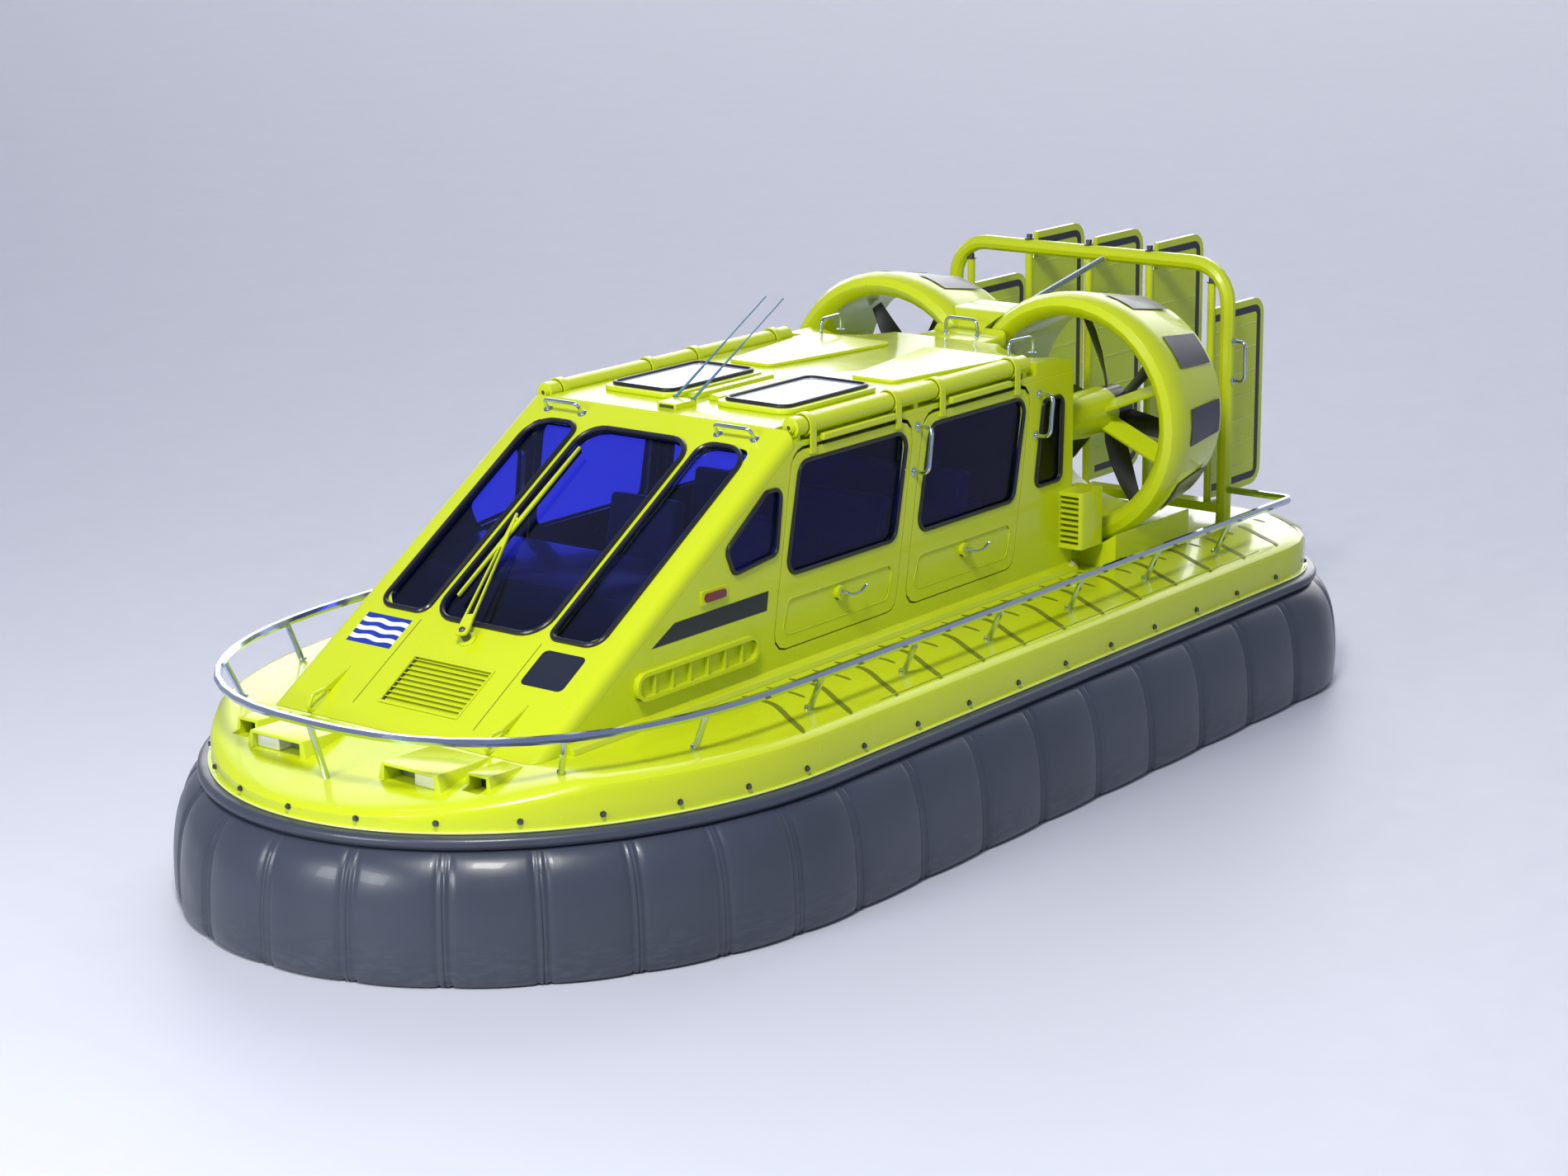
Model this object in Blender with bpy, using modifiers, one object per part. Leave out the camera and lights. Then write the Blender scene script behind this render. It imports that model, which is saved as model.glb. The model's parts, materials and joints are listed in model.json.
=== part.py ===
"""Passenger hovercraft with twin ducted propellers, built as separate sub-parts.

Metres, +X to the bow, +Y to port, +Z up. The origin is under the middle of the craft,
on the ground that the inflated skirt touches.
"""
import math

import bmesh
import bpy
from mathutils import Matrix, Vector

GAP = 0.0003                  # left between pieces that touch

# Plan outline of the deck edge: rounded bow, straight sides, rounded stern corners
HALF_BEAM = 1.755
BOW_X = 3.969
BOW_START_X = 1.764           # where the straight side turns into the bow curve
BOW_POWER = 2.0               # of the superellipse that gives the bow
STERN_X = -3.967
STERN_RADIUS = 0.81

# Heights
GROUND_Z = 0.0
FINGER_TOP_Z = 0.675
LIP_Z = 0.745                 # underside of the deck moulding
FLANK_TOP_Z = 0.915
DECK_Z = 0.98
HULL_BOTTOM_Z = 0.36
SKID_Z = 0.30
BOARD_TOP_Z = 0.775           # cabin floor board
HULL_OFFSET = -0.225          # hull side, in from the deck edge

# The fore deck slopes down to the bow
FORE_DECK_X = 3.18
FORE_DECK_FALL = 0.20         # metres down for each metre forward
FALL_BASE_Z = 0.76            # below this height the moulding keeps its shape

# Skirt fingers on each half, counted from the middle of the bow
BOW_FINGERS = 7
SIDE_FINGERS = 8
STERN_FINGERS = 4
STEPS_PER_FINGER = 3
SEAM_DEPTH = 0.030
STERN_SEAM_X = -2.910         # seam where the side fingers end
BAG_STEPS = 34

# Cabin
WALL_Y = 0.955
WALL_T = 0.050
CABIN_REAR_X = -1.827
ROOF_FRONT_X = 1.000
ROOF_Z = 2.340
ROOF_HALF = 0.825             # raised part of the roof, inside the gutters
GUTTER_HALF = 0.948
GUTTER_Z = 2.265
ROOF_UNDER_Z = 2.235
SLOPE_TOP = (1.024, 2.321)    # X, Z of a point near the top of the sloping front
SLOPE_FALL = 0.6234           # drop in Z for each metre forward
PANEL_DROP = 0.0589           # vertical thickness of the sloping panel
FLANGE_DROP = 0.100           # vertical depth of its side flanges
RAKE = 0.18                   # forward lean of door edges, X for each metre down

# Door hinge tubes along the roof edges
TUBE_Y = 0.900
TUBE_Z = 2.340
TUBE_R = 0.057
TUBE_X = (-1.339, 0.954)
DOOR_TOP_Z = 2.215
DOOR_LOW_Z = 1.125
DOOR_GAP = 0.007
DOOR_HEAD_Z = 2.238           # top of the door openings, clear of the swinging leaf
DOOR_REF_Z = 2.220            # height at which the door edges below are given
FRONT_DOOR_X = (-0.142, 1.003)
REAR_DOOR_X = (-1.362, -0.240)
WINDOW_LOW_Z = 1.475
WINDOW_IN = 0.062             # door window's edge, in from the leaf's
STRAP_IN = 0.170              # straps, in from the leaf's ends
STRAP_HALF = 0.024
STRAP_R = 0.070
STRAP_BORE_R = TUBE_R + 0.0008
LEG_Y = (0.960, 0.972)        # strap legs, outside the wall
LEVER_Z = 1.340

# Ducts and propellers
DUCT_Y = 0.714
DUCT_Z = 1.847
DUCT_R = 0.650
DUCT_STEPS = 40
DUCT_CLEAR_R = 0.806          # cut from what the ducts rest in, outside their facets
DUCT_FRONT_X = -2.106
DUCT_REAR_X = -2.871
PROP_X = -2.640
PROP_R = 0.638
BLADES = 6
POD_R = 0.150
POD_END_X = PROP_X + 0.125
HUB_FRONT_X = PROP_X + 0.120
SHAFT_R = 0.0405              # propeller shaft stub, seated in the fairing
BORE_R = 0.0412
BORE_DEPTH = 0.080
STATOR_X = -2.420
STATOR_ANGLE = math.radians(23)

# Rudders and their frame
SHAFT_X = -3.492
RUDDER_PITCH = 0.474
FRAME_Y = 1.071
FRAME_TOP_Z = 2.675
FRAME_TUBE_R = 0.050
FRAME_CORNER_R = 0.250
SILL_Z = (1.040, 1.100)
RUDDER_REAR_X = -4.160
RUDDER_CLEAR = 0.080          # plates above the arch start this far behind the shaft
OUTER_SHAFT_TOP_Z = 2.5525
RUDDER_T = 0.030
STAY_Y = 0.160                # stay from the cowl up to the frame
STAY_FOOT_X = -2.551
STAY_FOOT_Z = 2.489

# Handrail
RAIL_Z = 1.197
RAIL_R = 0.024
RAIL_BOW_POWER = 2.4          # the rail's bow curve is fuller than the deck's
RAIL_IN = -0.170              # from that curve
POST_IN = -0.280
POST_R = 0.018
RAIL_REAR_X = -3.475
POST_X = (-2.690, -1.845, -0.980, -0.126, 0.711, 1.575, 2.520, 3.340)
RAIL_BOW_STEPS = 14
RAIL_JOINTS_X = (2.93, 1.143, -1.41)   # butt joints between its lengths

COLOURS = {
    "gel_coat": ((0.62, 0.80, 0.02), 0.18, 0.0),
    "skirt_fabric": ((0.070, 0.085, 0.115), 0.42, 0.0),
    "tinted_glass": ((0.015, 0.020, 0.060), 0.05, 0.0),
    "polished_steel": ((0.72, 0.75, 0.80), 0.12, 1.0),
    "dark_composite": ((0.020, 0.019, 0.020), 0.40, 0.0),
    "seat_vinyl": ((0.050, 0.055, 0.070), 0.60, 0.0),
    "engine_metal": ((0.110, 0.110, 0.115), 0.50, 0.6),
}


def clear_scene():
    """Remove every object."""
    for item in list(bpy.data.objects):
        bpy.data.objects.remove(item, do_unlink=True)


def make_collection(name):
    group = bpy.data.collections.new(name)
    bpy.context.scene.collection.children.link(group)
    return group


clear_scene()
CRAFT = make_collection("hovercraft")


def make_material(name):
    colour, roughness, metallic = COLOURS[name]
    material = bpy.data.materials.new(name)
    material.use_nodes = True
    shader = material.node_tree.nodes["Principled BSDF"]
    shader.inputs["Base Color"].default_value = (*colour, 1.0)
    shader.inputs["Roughness"].default_value = roughness
    shader.inputs["Metallic"].default_value = metallic
    return material


MATERIALS = {name: make_material(name) for name in COLOURS}


def new_object(name, mesh_data, material):
    """Object in the craft's collection with its one material."""
    item = bpy.data.objects.new(name, mesh_data)
    CRAFT.objects.link(item)
    mesh_data.materials.clear()
    mesh_data.materials.append(MATERIALS[material])
    return item


def from_bmesh(name, shape, material):
    bmesh.ops.recalc_face_normals(shape, faces=shape.faces)
    data = bpy.data.meshes.new(name)
    shape.to_mesh(data)
    shape.free()
    return new_object(name, data, material)


def smooth(item, angle=35):
    item.data.shade_smooth()
    item.data.set_sharp_from_angle(angle=math.radians(angle))
    return item


def box(name, low, high, material):
    """Axis-aligned box between two corners."""
    centre = [(a + b) / 2 for a, b in zip(low, high)]
    size = [b - a for a, b in zip(low, high)]
    shape = bmesh.new()
    bmesh.ops.create_cube(shape, size=1.0)
    bmesh.ops.scale(shape, vec=size, verts=shape.verts)
    bmesh.ops.translate(shape, vec=centre, verts=shape.verts)
    return from_bmesh(name, shape, material)


def rod(name, start, end, radius, material, end_radius=None, sides=24):
    """Cylinder or cone between two points."""
    start, end = Vector(start), Vector(end)
    along = end - start
    shape = bmesh.new()
    bmesh.ops.create_cone(shape, cap_ends=True, segments=sides, radius1=radius,
                          radius2=radius if end_radius is None else end_radius,
                          depth=along.length)
    turn = along.to_track_quat("Z", "Y").to_matrix().to_4x4()
    bmesh.ops.transform(shape, matrix=Matrix.Translation((start + end) / 2) @ turn,
                        verts=shape.verts)
    return from_bmesh(name, shape, material)


def ball(name, centre, radii, material, segments=24, rings=12):
    """Ellipsoid."""
    shape = bmesh.new()
    bmesh.ops.create_uvsphere(shape, u_segments=segments, v_segments=rings, radius=1.0)
    bmesh.ops.scale(shape, vec=radii, verts=shape.verts)
    bmesh.ops.translate(shape, vec=centre, verts=shape.verts)
    return from_bmesh(name, shape, material)


def prism(name, outline, low, high, material, across="Y"):
    """Flat outline extruded from low to high along one axis.

    across Y reads the outline as (X, Z), across X as (Y, Z) and across Z as (X, Y).
    """
    place = {"Y": lambda p, d: (p[0], d, p[1]), "X": lambda p, d: (d, p[0], p[1]),
             "Z": lambda p, d: (p[0], p[1], d)}[across]
    shape = bmesh.new()
    face = shape.faces.new([shape.verts.new(place(p, low)) for p in outline])
    swept = bmesh.ops.extrude_face_region(shape, geom=[face])
    moved = [v for v in swept["geom"] if isinstance(v, bmesh.types.BMVert)]
    bmesh.ops.translate(shape, vec=place((0, 0), high - low), verts=moved)
    return from_bmesh(name, shape, material)


def rounded(corners, radius, steps=3):
    """Polygon with each corner turned into an arc. radius is a number or one for each."""
    radii = radius if isinstance(radius, (list, tuple)) else [radius] * len(corners)
    points = []
    for i, corner in enumerate(corners):
        here = Vector(corner)
        before = (Vector(corners[i - 1]) - here).normalized()
        after = (Vector(corners[(i + 1) % len(corners)]) - here).normalized()
        if radii[i] <= 0:
            points.append(tuple(here))
            continue
        half = before.angle(after) / 2
        reach = radii[i] / math.tan(half)
        centre = here + (before + after).normalized() * radii[i] / math.sin(half)
        first = here + before * reach - centre
        last = here + after * reach - centre
        sweep = first.angle_signed(last)
        for k in range(steps + 1):
            arm = first.copy()
            arm.rotate(Matrix.Rotation(-sweep * k / steps, 2))
            points.append(tuple(centre + arm))
    return points


def pipe(name, points, radius, material, sides=12):
    """Round bar along a path, as a mesh with its caps welded on."""
    curve = bpy.data.curves.new(name, "CURVE")
    curve.dimensions = "3D"
    curve.bevel_depth = radius
    curve.bevel_resolution = max(0, sides // 4 - 1)
    curve.use_fill_caps = True
    spline = curve.splines.new("POLY")
    spline.points.add(len(points) - 1)
    for target, point in zip(spline.points, points):
        target.co = (*point, 1.0)
    guide = bpy.data.objects.new(name + "_guide", curve)
    CRAFT.objects.link(guide)
    bpy.context.view_layer.update()
    graph = bpy.context.evaluated_depsgraph_get()
    data = bpy.data.meshes.new_from_object(guide.evaluated_get(graph))
    bpy.data.objects.remove(guide, do_unlink=True)
    shape = bmesh.new()
    shape.from_mesh(data)
    bmesh.ops.remove_doubles(shape, verts=shape.verts, dist=0.00005)
    bpy.data.meshes.remove(data)
    return from_bmesh(name, shape, material)


def turned(name, profile, centre, steps, material):
    """Profile of (X, radius) points turned about a line along X through centre."""
    data = bpy.data.meshes.new(name)
    item = new_object(name, data, material)
    shape = bmesh.new()
    rim = [shape.verts.new((radius, 0, x)) for x, radius in profile]
    for a, b in zip(rim, rim[1:] + rim[:1]):
        shape.edges.new((a, b))
    shape.to_mesh(data)
    shape.free()
    turn = item.modifiers.new("turn", "SCREW")
    turn.steps = turn.render_steps = steps
    turn.use_merge_vertices = True
    turn.merge_threshold = 0.0001
    item.matrix_world = Matrix.Translation(centre) @ Matrix.Rotation(math.pi / 2, 4, "Y")
    return bake(item)


def bake(item):
    """Turn an object's modifiers and placing into plain mesh in the craft's frame."""
    bpy.context.view_layer.update()
    graph = bpy.context.evaluated_depsgraph_get()
    data = bpy.data.meshes.new_from_object(item.evaluated_get(graph))
    data.transform(item.matrix_world)
    item.modifiers.clear()
    old = item.data
    item.data = data
    item.matrix_world = Matrix.Identity(4)
    bpy.data.meshes.remove(old)
    shape = bmesh.new()
    shape.from_mesh(data)
    bmesh.ops.recalc_face_normals(shape, faces=shape.faces)
    shape.to_mesh(data)
    shape.free()
    return item


def boolean(item, tools, operation="DIFFERENCE"):
    """Cut by, or join with, other solids, which are used up."""
    for tool in tools:
        step = item.modifiers.new(operation.lower(), "BOOLEAN")
        step.operation = operation
        step.solver = "EXACT"
        step.object = tool
    bake(item)
    for tool in tools:
        bpy.data.objects.remove(tool, do_unlink=True)
    return item


def cut(item, *tools):
    return boolean(item, tools, "DIFFERENCE")


def join(item, *tools):
    return boolean(item, tools, "UNION")


def bevel(item, width, segments=3, angle=30):
    step = item.modifiers.new("edges", "BEVEL")
    step.width = width
    step.segments = segments
    step.limit_method = "ANGLE"
    step.angle_limit = math.radians(angle)
    return bake(item)


def other_side(item, name):
    """Mirror image of a piece across the craft's middle plane, as its own object."""
    data = item.data.copy()
    data.transform(Matrix.Scale(-1, 4, (0, 1, 0)))
    data.flip_normals()
    return new_object(name, data, item.data.materials[0].name)


def slope_z(x):
    """Height of the outer face of the sloping front."""
    return SLOPE_TOP[1] - (x - SLOPE_TOP[0]) * SLOPE_FALL


def slope_x(z):
    return SLOPE_TOP[0] + (SLOPE_TOP[1] - z) / SLOPE_FALL


def deck_z(x):
    """Height of the deck, which is level up to the fore deck's slope."""
    return DECK_Z - max(0.0, x - FORE_DECK_X) * FORE_DECK_FALL


# Plan outline

def half_outline(bow_power):
    """Port half of the plan outline, from the bow's middle to the stern's middle."""
    points = []
    corner_steps = 12
    for k in range(BOW_STEPS + 1):
        turn = math.pi / 2 * k / BOW_STEPS
        x = BOW_START_X + (BOW_X - BOW_START_X) * math.cos(turn) ** (2 / bow_power)
        y = HALF_BEAM * math.sin(turn) ** (2 / bow_power)
        points.append(Vector((x, y)))
    centre = Vector((STERN_X + STERN_RADIUS, HALF_BEAM - STERN_RADIUS))
    for k in range(corner_steps + 1):
        turn = math.pi / 2 * (1 + k / corner_steps)
        points.append(centre + STERN_RADIUS * Vector((math.cos(turn), math.sin(turn))))
    points.append(Vector((STERN_X, 0.0)))
    return points


def distances(half):
    """Distance along an outline from the bow's middle to each of its points."""
    marks = [0.0]
    for first, second in zip(half, half[1:]):
        marks.append(marks[-1] + (second - first).length)
    return marks


BOW_STEPS = 40
HALF = half_outline(BOW_POWER)
RUN = distances(HALF)
BOW_RUN = RUN[BOW_STEPS]
RAIL_HALF = half_outline(RAIL_BOW_POWER)
RAIL_RUN = distances(RAIL_HALF)


def edge_point(run, offset=0.0, half=HALF, marks=RUN):
    """Point on a port outline at a distance from the bow, moved outwards by offset."""
    run = min(max(run, 0.0), marks[-1])
    i = max(k for k in range(len(marks) - 1) if marks[k] <= run + 1e-9)
    share = (run - marks[i]) / (marks[i + 1] - marks[i])

    def facing(k):
        before = half[k] - (half[k - 1] if k else Vector((half[1].x, -half[1].y)))
        after = (half[k + 1] if k + 1 < len(half) else half[k] - Vector((0, 1))) - half[k]
        along = before.normalized() + after.normalized()
        return Vector((along.y, -along.x)).normalized()

    out = (facing(i) * (1 - share) + facing(i + 1) * share).normalized()
    return half[i].lerp(half[i + 1], share) + out * offset


def ring_points(runs, offset):
    """Closed ring: port runs from bow to stern, then the same back along starboard."""
    port = [edge_point(run, offset) for run in runs]
    starboard = [Vector((p.x, -p.y)) for p in reversed(port)
                 if abs(p.y) > 1e-6]
    return [Vector((p.x, 0.0)) if abs(p.y) < 1e-6 else p for p in port] + starboard


def seams():
    """Distances from the bow's middle to each seam of the skirt."""
    side_end = BOW_RUN + BOW_START_X - STERN_SEAM_X
    marks = [BOW_RUN * k / BOW_FINGERS for k in range(BOW_FINGERS)]
    marks += [BOW_RUN + (side_end - BOW_RUN) * k / SIDE_FINGERS for k in range(SIDE_FINGERS)]
    marks += [side_end + (RUN[-1] - side_end) * k / STERN_FINGERS
              for k in range(STERN_FINGERS + 1)]
    return marks


def ring_loft(name, runs, profile, material, pinch=None):
    """Sweep a closed profile of (offset, Z, pinch weight) round the deck edge."""
    shape = bmesh.new()
    columns = []
    count = 2 * len(runs) - 2
    for offset, height, weight in profile:
        ring = []
        for i in range(count):
            k = i if i < len(runs) else count - i
            drop = pinch[k] * weight if pinch else 0.0
            lift = abs(drop) * 0.5 if height < 0.1 and pinch else 0.0
            place = edge_point(runs[k], offset - drop)
            y = place.y if i < len(runs) else -place.y
            if k in (0, len(runs) - 1):
                y = 0.0
            ring.append(shape.verts.new((place.x, y, height + lift)))
        columns.append(ring)
    for j in range(len(profile)):
        a, b = columns[j], columns[(j + 1) % len(profile)]
        for i in range(count):
            n = (i + 1) % count
            shape.faces.new((a[i], a[n], b[n], b[i]))
    return smooth(from_bmesh(name, shape, material))


def stack(name, runs, levels, material):
    """Closed slab from rings of (offset, Z), with a flat top and bottom."""
    shape = bmesh.new()
    rings = []
    for offset, height in levels:
        rings.append([shape.verts.new((p.x, p.y, height)) for p in ring_points(runs, offset)])
    for a, b in zip(rings, rings[1:]):
        for i in range(len(a)):
            n = (i + 1) % len(a)
            shape.faces.new((a[i], a[n], b[n], b[i]))
    shape.faces.new(rings[0])
    shape.faces.new(rings[-1])
    return from_bmesh(name, shape, material)


# Skirt, deck and hull

def finger_runs():
    """Stations along the skirt and how deep each is pinched in at its seam."""
    marks = seams()
    runs, depth = [], []
    for a, b in zip(marks, marks[1:]):
        for k in range(STEPS_PER_FINGER):
            share = k / STEPS_PER_FINGER
            runs.append(a + (b - a) * share)
            depth.append(SEAM_DEPTH * (1 - math.sin(math.pi * share) ** 0.5))
    return runs + [marks[-1]], depth + [SEAM_DEPTH]


def make_skirt():
    runs, depth = finger_runs()
    profile = [(0.045, FINGER_TOP_Z, 0.2), (0.125, 0.612, 0.8), (0.192, 0.490, 1.0),
               (0.228, 0.300, 1.0), (0.228, 0.070, 1.0), (0.190, GROUND_Z, 0.8),
               (0.110, GROUND_Z, 0.0), (-0.120, 0.420, 0.0), (-0.200, FINGER_TOP_Z, 0.0)]
    ring_loft("skirt_fingers", runs, profile, "skirt_fabric", depth)
    bag_runs = [RUN[-1] * k / BAG_STEPS for k in range(BAG_STEPS + 1)]
    low, high = FINGER_TOP_Z + GAP, LIP_Z - GAP
    bag = [(-0.200, low, 0), (0.045, low, 0), (0.076, low + 0.020, 0),
           (0.070, high - 0.018, 0), (0.030, high, 0), (-0.200, high, 0)]
    ring_loft("skirt_bag", bag_runs, bag, "skirt_fabric")


def deck_runs():
    """Stations closer together round the bow and the stern corners."""
    bow = [BOW_RUN * k / 18 for k in range(18)]
    return bow + [BOW_RUN] + RUN[BOW_STEPS + 1::2]


HOUSING_BACK_X = 3.20         # where the fore deck's housings run out into the deck
HOUSING_LOW_Z = 0.80
HEADLIGHT = {"y": (0.284, 0.676), "front": 3.587, "top": 0.990, "floor": 0.893, "flare": 0.050,
             "rim": 0.022, "depth": 0.130}
INLET = {"y": (0.757, 0.907), "front": 3.457, "top": 0.990, "floor": 0.893, "flare": 0.030,
         "rim": 0.018, "depth": 0.100}


def make_housing(size, side):
    """Wedge on the fore deck with level top and flared sides, open to the front."""
    front, top = size["front"], size["top"]
    inner, outer = size["y"]
    outline = [(front, HOUSING_LOW_Z), (front, top), (HOUSING_BACK_X, top - 0.008),
               (HOUSING_BACK_X, HOUSING_LOW_Z)]
    low_y, high_y = sorted((side * inner, side * outer))
    shell = prism("housing", outline, low_y, high_y, "gel_coat")
    middle = (low_y + high_y) / 2
    for vertex in shell.data.vertices:
        if vertex.co.z < top - 0.05:
            vertex.co.y += math.copysign(size["flare"], vertex.co.y - middle)
    bevel(shell, 0.008, 2)
    rim = size["rim"]
    hollow = box("housing_hollow", (front - size["depth"], low_y + rim, size["floor"]),
                 (front + 0.06, high_y - rim, top - 0.016), "gel_coat")
    return shell, hollow


def tilt_fore_deck(item):
    """Lower the top of the deck moulding towards the bow."""
    shape = bmesh.new()
    shape.from_mesh(item.data)
    bmesh.ops.bisect_plane(shape, geom=shape.verts[:] + shape.edges[:] + shape.faces[:],
                           plane_co=(FORE_DECK_X, 0, 0), plane_no=(1, 0, 0), dist=0.0001)
    for vertex in shape.verts:
        share = (vertex.co.z - FALL_BASE_Z) / (DECK_Z - FALL_BASE_Z)
        if share > 0:
            vertex.co.z -= (DECK_Z - deck_z(vertex.co.x)) * share
    shape.to_mesh(item.data)
    shape.free()


def make_deck():
    levels = [(-0.30, LIP_Z), (0.012, LIP_Z), (0.012, LIP_Z + 0.014), (0.0, LIP_Z + 0.016),
              (0.0, FLANK_TOP_Z), (-0.012, FLANK_TOP_Z + 0.034), (-0.045, DECK_Z - 0.008),
              (-0.100, DECK_Z)]
    deck = stack("deck_moulding", deck_runs(), levels, "gel_coat")
    tilt_fore_deck(deck)
    well = box("well", (WELL_X[0], -WELL_HALF, LIP_Z - 0.1), (WELL_X[1], WELL_HALF, DECK_Z + 0.1),
               "gel_coat")
    cut(deck, well)
    housings = [make_housing(size, side) for size in (HEADLIGHT, INLET) for side in (1, -1)]
    join(deck, *[shell for shell, hollow in housings])
    cut(deck, *[hollow for shell, hollow in housings])
    return smooth(deck)


WELL_X = (CABIN_REAR_X + 0.10, 2.30)   # opening in the deck under the cabin
WELL_HALF = 0.850
WELL_GAP = 0.005
SKID_X = (-2.9, 2.6)
SKID_Y = 0.750
SKID_HALF = 0.060


def make_hull():
    levels = [(-0.560, HULL_BOTTOM_Z), (-0.500, HULL_BOTTOM_Z + 0.01), (HULL_OFFSET, 0.640),
              (HULL_OFFSET, LIP_Z - GAP)]
    hull = stack("hull_bottom", deck_runs(), levels, "gel_coat")
    skids = [box("skid", (SKID_X[0], side * SKID_Y - SKID_HALF, SKID_Z),
                 (SKID_X[1], side * SKID_Y + SKID_HALF, HULL_BOTTOM_Z + 0.05), "gel_coat")
             for side in (1, -1)]
    join(hull, *skids)
    half = WELL_HALF - WELL_GAP
    box("cabin_floor", (WELL_X[0] + WELL_GAP, -half, LIP_Z), (WELL_X[1] - WELL_GAP, half, BOARD_TOP_Z),
        "dark_composite")


# Cabin

def screen_outline(low_y, high_y, first, last, radii):
    """Window outline on the sloping front, as (distance down the slope, Y)."""
    return rounded([(first, low_y), (last, low_y), (last, high_y), (first, high_y)], radii, 3)


def slope_frame():
    """Matrix whose X runs down the slope and whose Z points out of it."""
    angle = math.atan(SLOPE_FALL)
    down = Vector((math.cos(angle), 0, -math.sin(angle)))
    out = Vector((math.sin(angle), 0, math.cos(angle)))
    frame = Matrix.Identity(4)
    for row in range(3):
        frame[row][0] = down[row]
        frame[row][1] = (0, 1, 0)[row]
        frame[row][2] = out[row]
        frame[row][3] = (SLOPE_TOP[0], 0, SLOPE_TOP[1])[row]
    return frame


SLOPE = slope_frame()
PANEL_T = PANEL_DROP * math.cos(math.atan(SLOPE_FALL))
SCREENS = {
    "windscreen_centre": (-0.387, 0.387, 0.160, 1.722, (0.15, 0.15, 0.15, 0.15)),
    "windscreen_port": (0.452, 0.790, 0.160, 1.712, (0.09, 0.09, 0.16, 0.06)),
    "windscreen_starboard": (-0.790, -0.452, 0.160, 1.712, (0.06, 0.16, 0.09, 0.09)),
}


PANE_GAP = 0.0005             # round each window pane
VENT_SLATS = 10


def on_slope(item):
    """Place a piece that was made with X down the slope and Z out of it."""
    item.matrix_world = SLOPE
    return bake(item)


def make_nose():
    base = DECK_Z + GAP
    rear = ROOF_FRONT_X + GAP
    outer = [(rear, slope_z(rear)), (slope_x(base), base),
             (slope_x(base + FLANGE_DROP), base), (rear, slope_z(rear) - FLANGE_DROP)]
    nose = prism("nose_panel", outer, -WALL_Y, WALL_Y, "gel_coat")
    long_edges = nose.modifiers.new("edges", "BEVEL")
    long_edges.width = 0.06
    long_edges.segments = 4
    long_edges.limit_method = "WEIGHT"
    weights = nose.data.attributes.new("bevel_weight_edge", "FLOAT", "EDGE")
    for edge in nose.data.edges:
        ends = [nose.data.vertices[i].co for i in edge.vertices]
        top = all(abs(p.z - slope_z(p.x)) < 0.001 for p in ends)
        weights.data[edge.index].value = 1.0 if top and abs(ends[0].x - ends[1].x) > 0.5 else 0.0
    bake(nose)
    drop = PANEL_DROP
    inner = [(rear - 0.1, slope_z(rear - 0.1) - drop), (slope_x(base - 0.1 + drop), base - 0.1),
             (rear - 0.1, base - 0.1)]
    half = WALL_Y - WALL_T
    tools = [prism("nose_inside", inner, -half, half, "gel_coat")]
    for name, (low_y, high_y, first, last, radii) in SCREENS.items():
        hole = prism(name + "_hole", screen_outline(low_y, high_y, first, last, radii),
                     -0.1, 0.05, "gel_coat", "Z")
        tools.append(on_slope(hole))
        drawn = screen_outline(low_y + PANE_GAP, high_y - PANE_GAP, first + PANE_GAP,
                               last - PANE_GAP, radii)
        on_slope(prism(name, drawn, -PANEL_T + 0.018, -0.014, "tinted_glass", "Z"))
    vent = box("vent_recess", (2.00, -0.275, -0.02), (2.36, 0.275, 0.05), "gel_coat")
    tools.append(on_slope(vent))
    cut(nose, *tools)
    slats = []
    for k in range(VENT_SLATS):
        at = 2.014 + 0.0345 * k
        section = [(at, -0.03), (at + 0.008, -0.03), (at + 0.020, -0.002), (at + 0.012, -0.002)]
        slats.append(on_slope(prism("slat", section, -0.29, 0.29, "gel_coat")))
    join(nose, *slats)
    return smooth(nose)


def lean(x, z):
    """X at height z of a raked line that passes x at the reference height."""
    return x + RAKE * (DOOR_REF_Z - z)


def door_outline(edges, inset, radii, top=DOOR_TOP_Z, low=DOOR_LOW_Z):
    """Door shape as (X, Z), its front and rear edges raked like the pillars."""
    rear, front = edges
    top, low = top - inset, low + inset

    corners = [(lean(rear + inset, low), low), (lean(front - inset, low), low),
               (lean(front - inset, top), top), (lean(rear + inset, top), top)]
    return rounded(corners, radii, 3)


REAR_WINDOW = [(-1.400, 1.575), (-1.685, 1.575), (-1.705, 2.100), (-1.490, 2.100)]
QUARTER_WINDOW = [(1.165, 1.680), (1.540, 1.640), (1.605, 1.785), (1.250, 2.040), (1.115, 2.040)]


def side_window(outline, radius, inset):
    """Outline of a fixed side window, drawn in by inset, in the wall's plane."""
    middle = sum((Vector(p) for p in outline), Vector((0, 0))) / len(outline)
    drawn = []
    for p in outline:
        arm = Vector(p) - middle
        drawn.append(tuple(middle + arm * (1 - inset / arm.length)))
    return rounded(drawn, radius, 4)


LOUVRE_BOX_X = (-1.683, -1.944)
LOUVRE_BOX_Y = 1.116
LOUVRE_BOX_Z = (1.143, 1.503)


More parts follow.
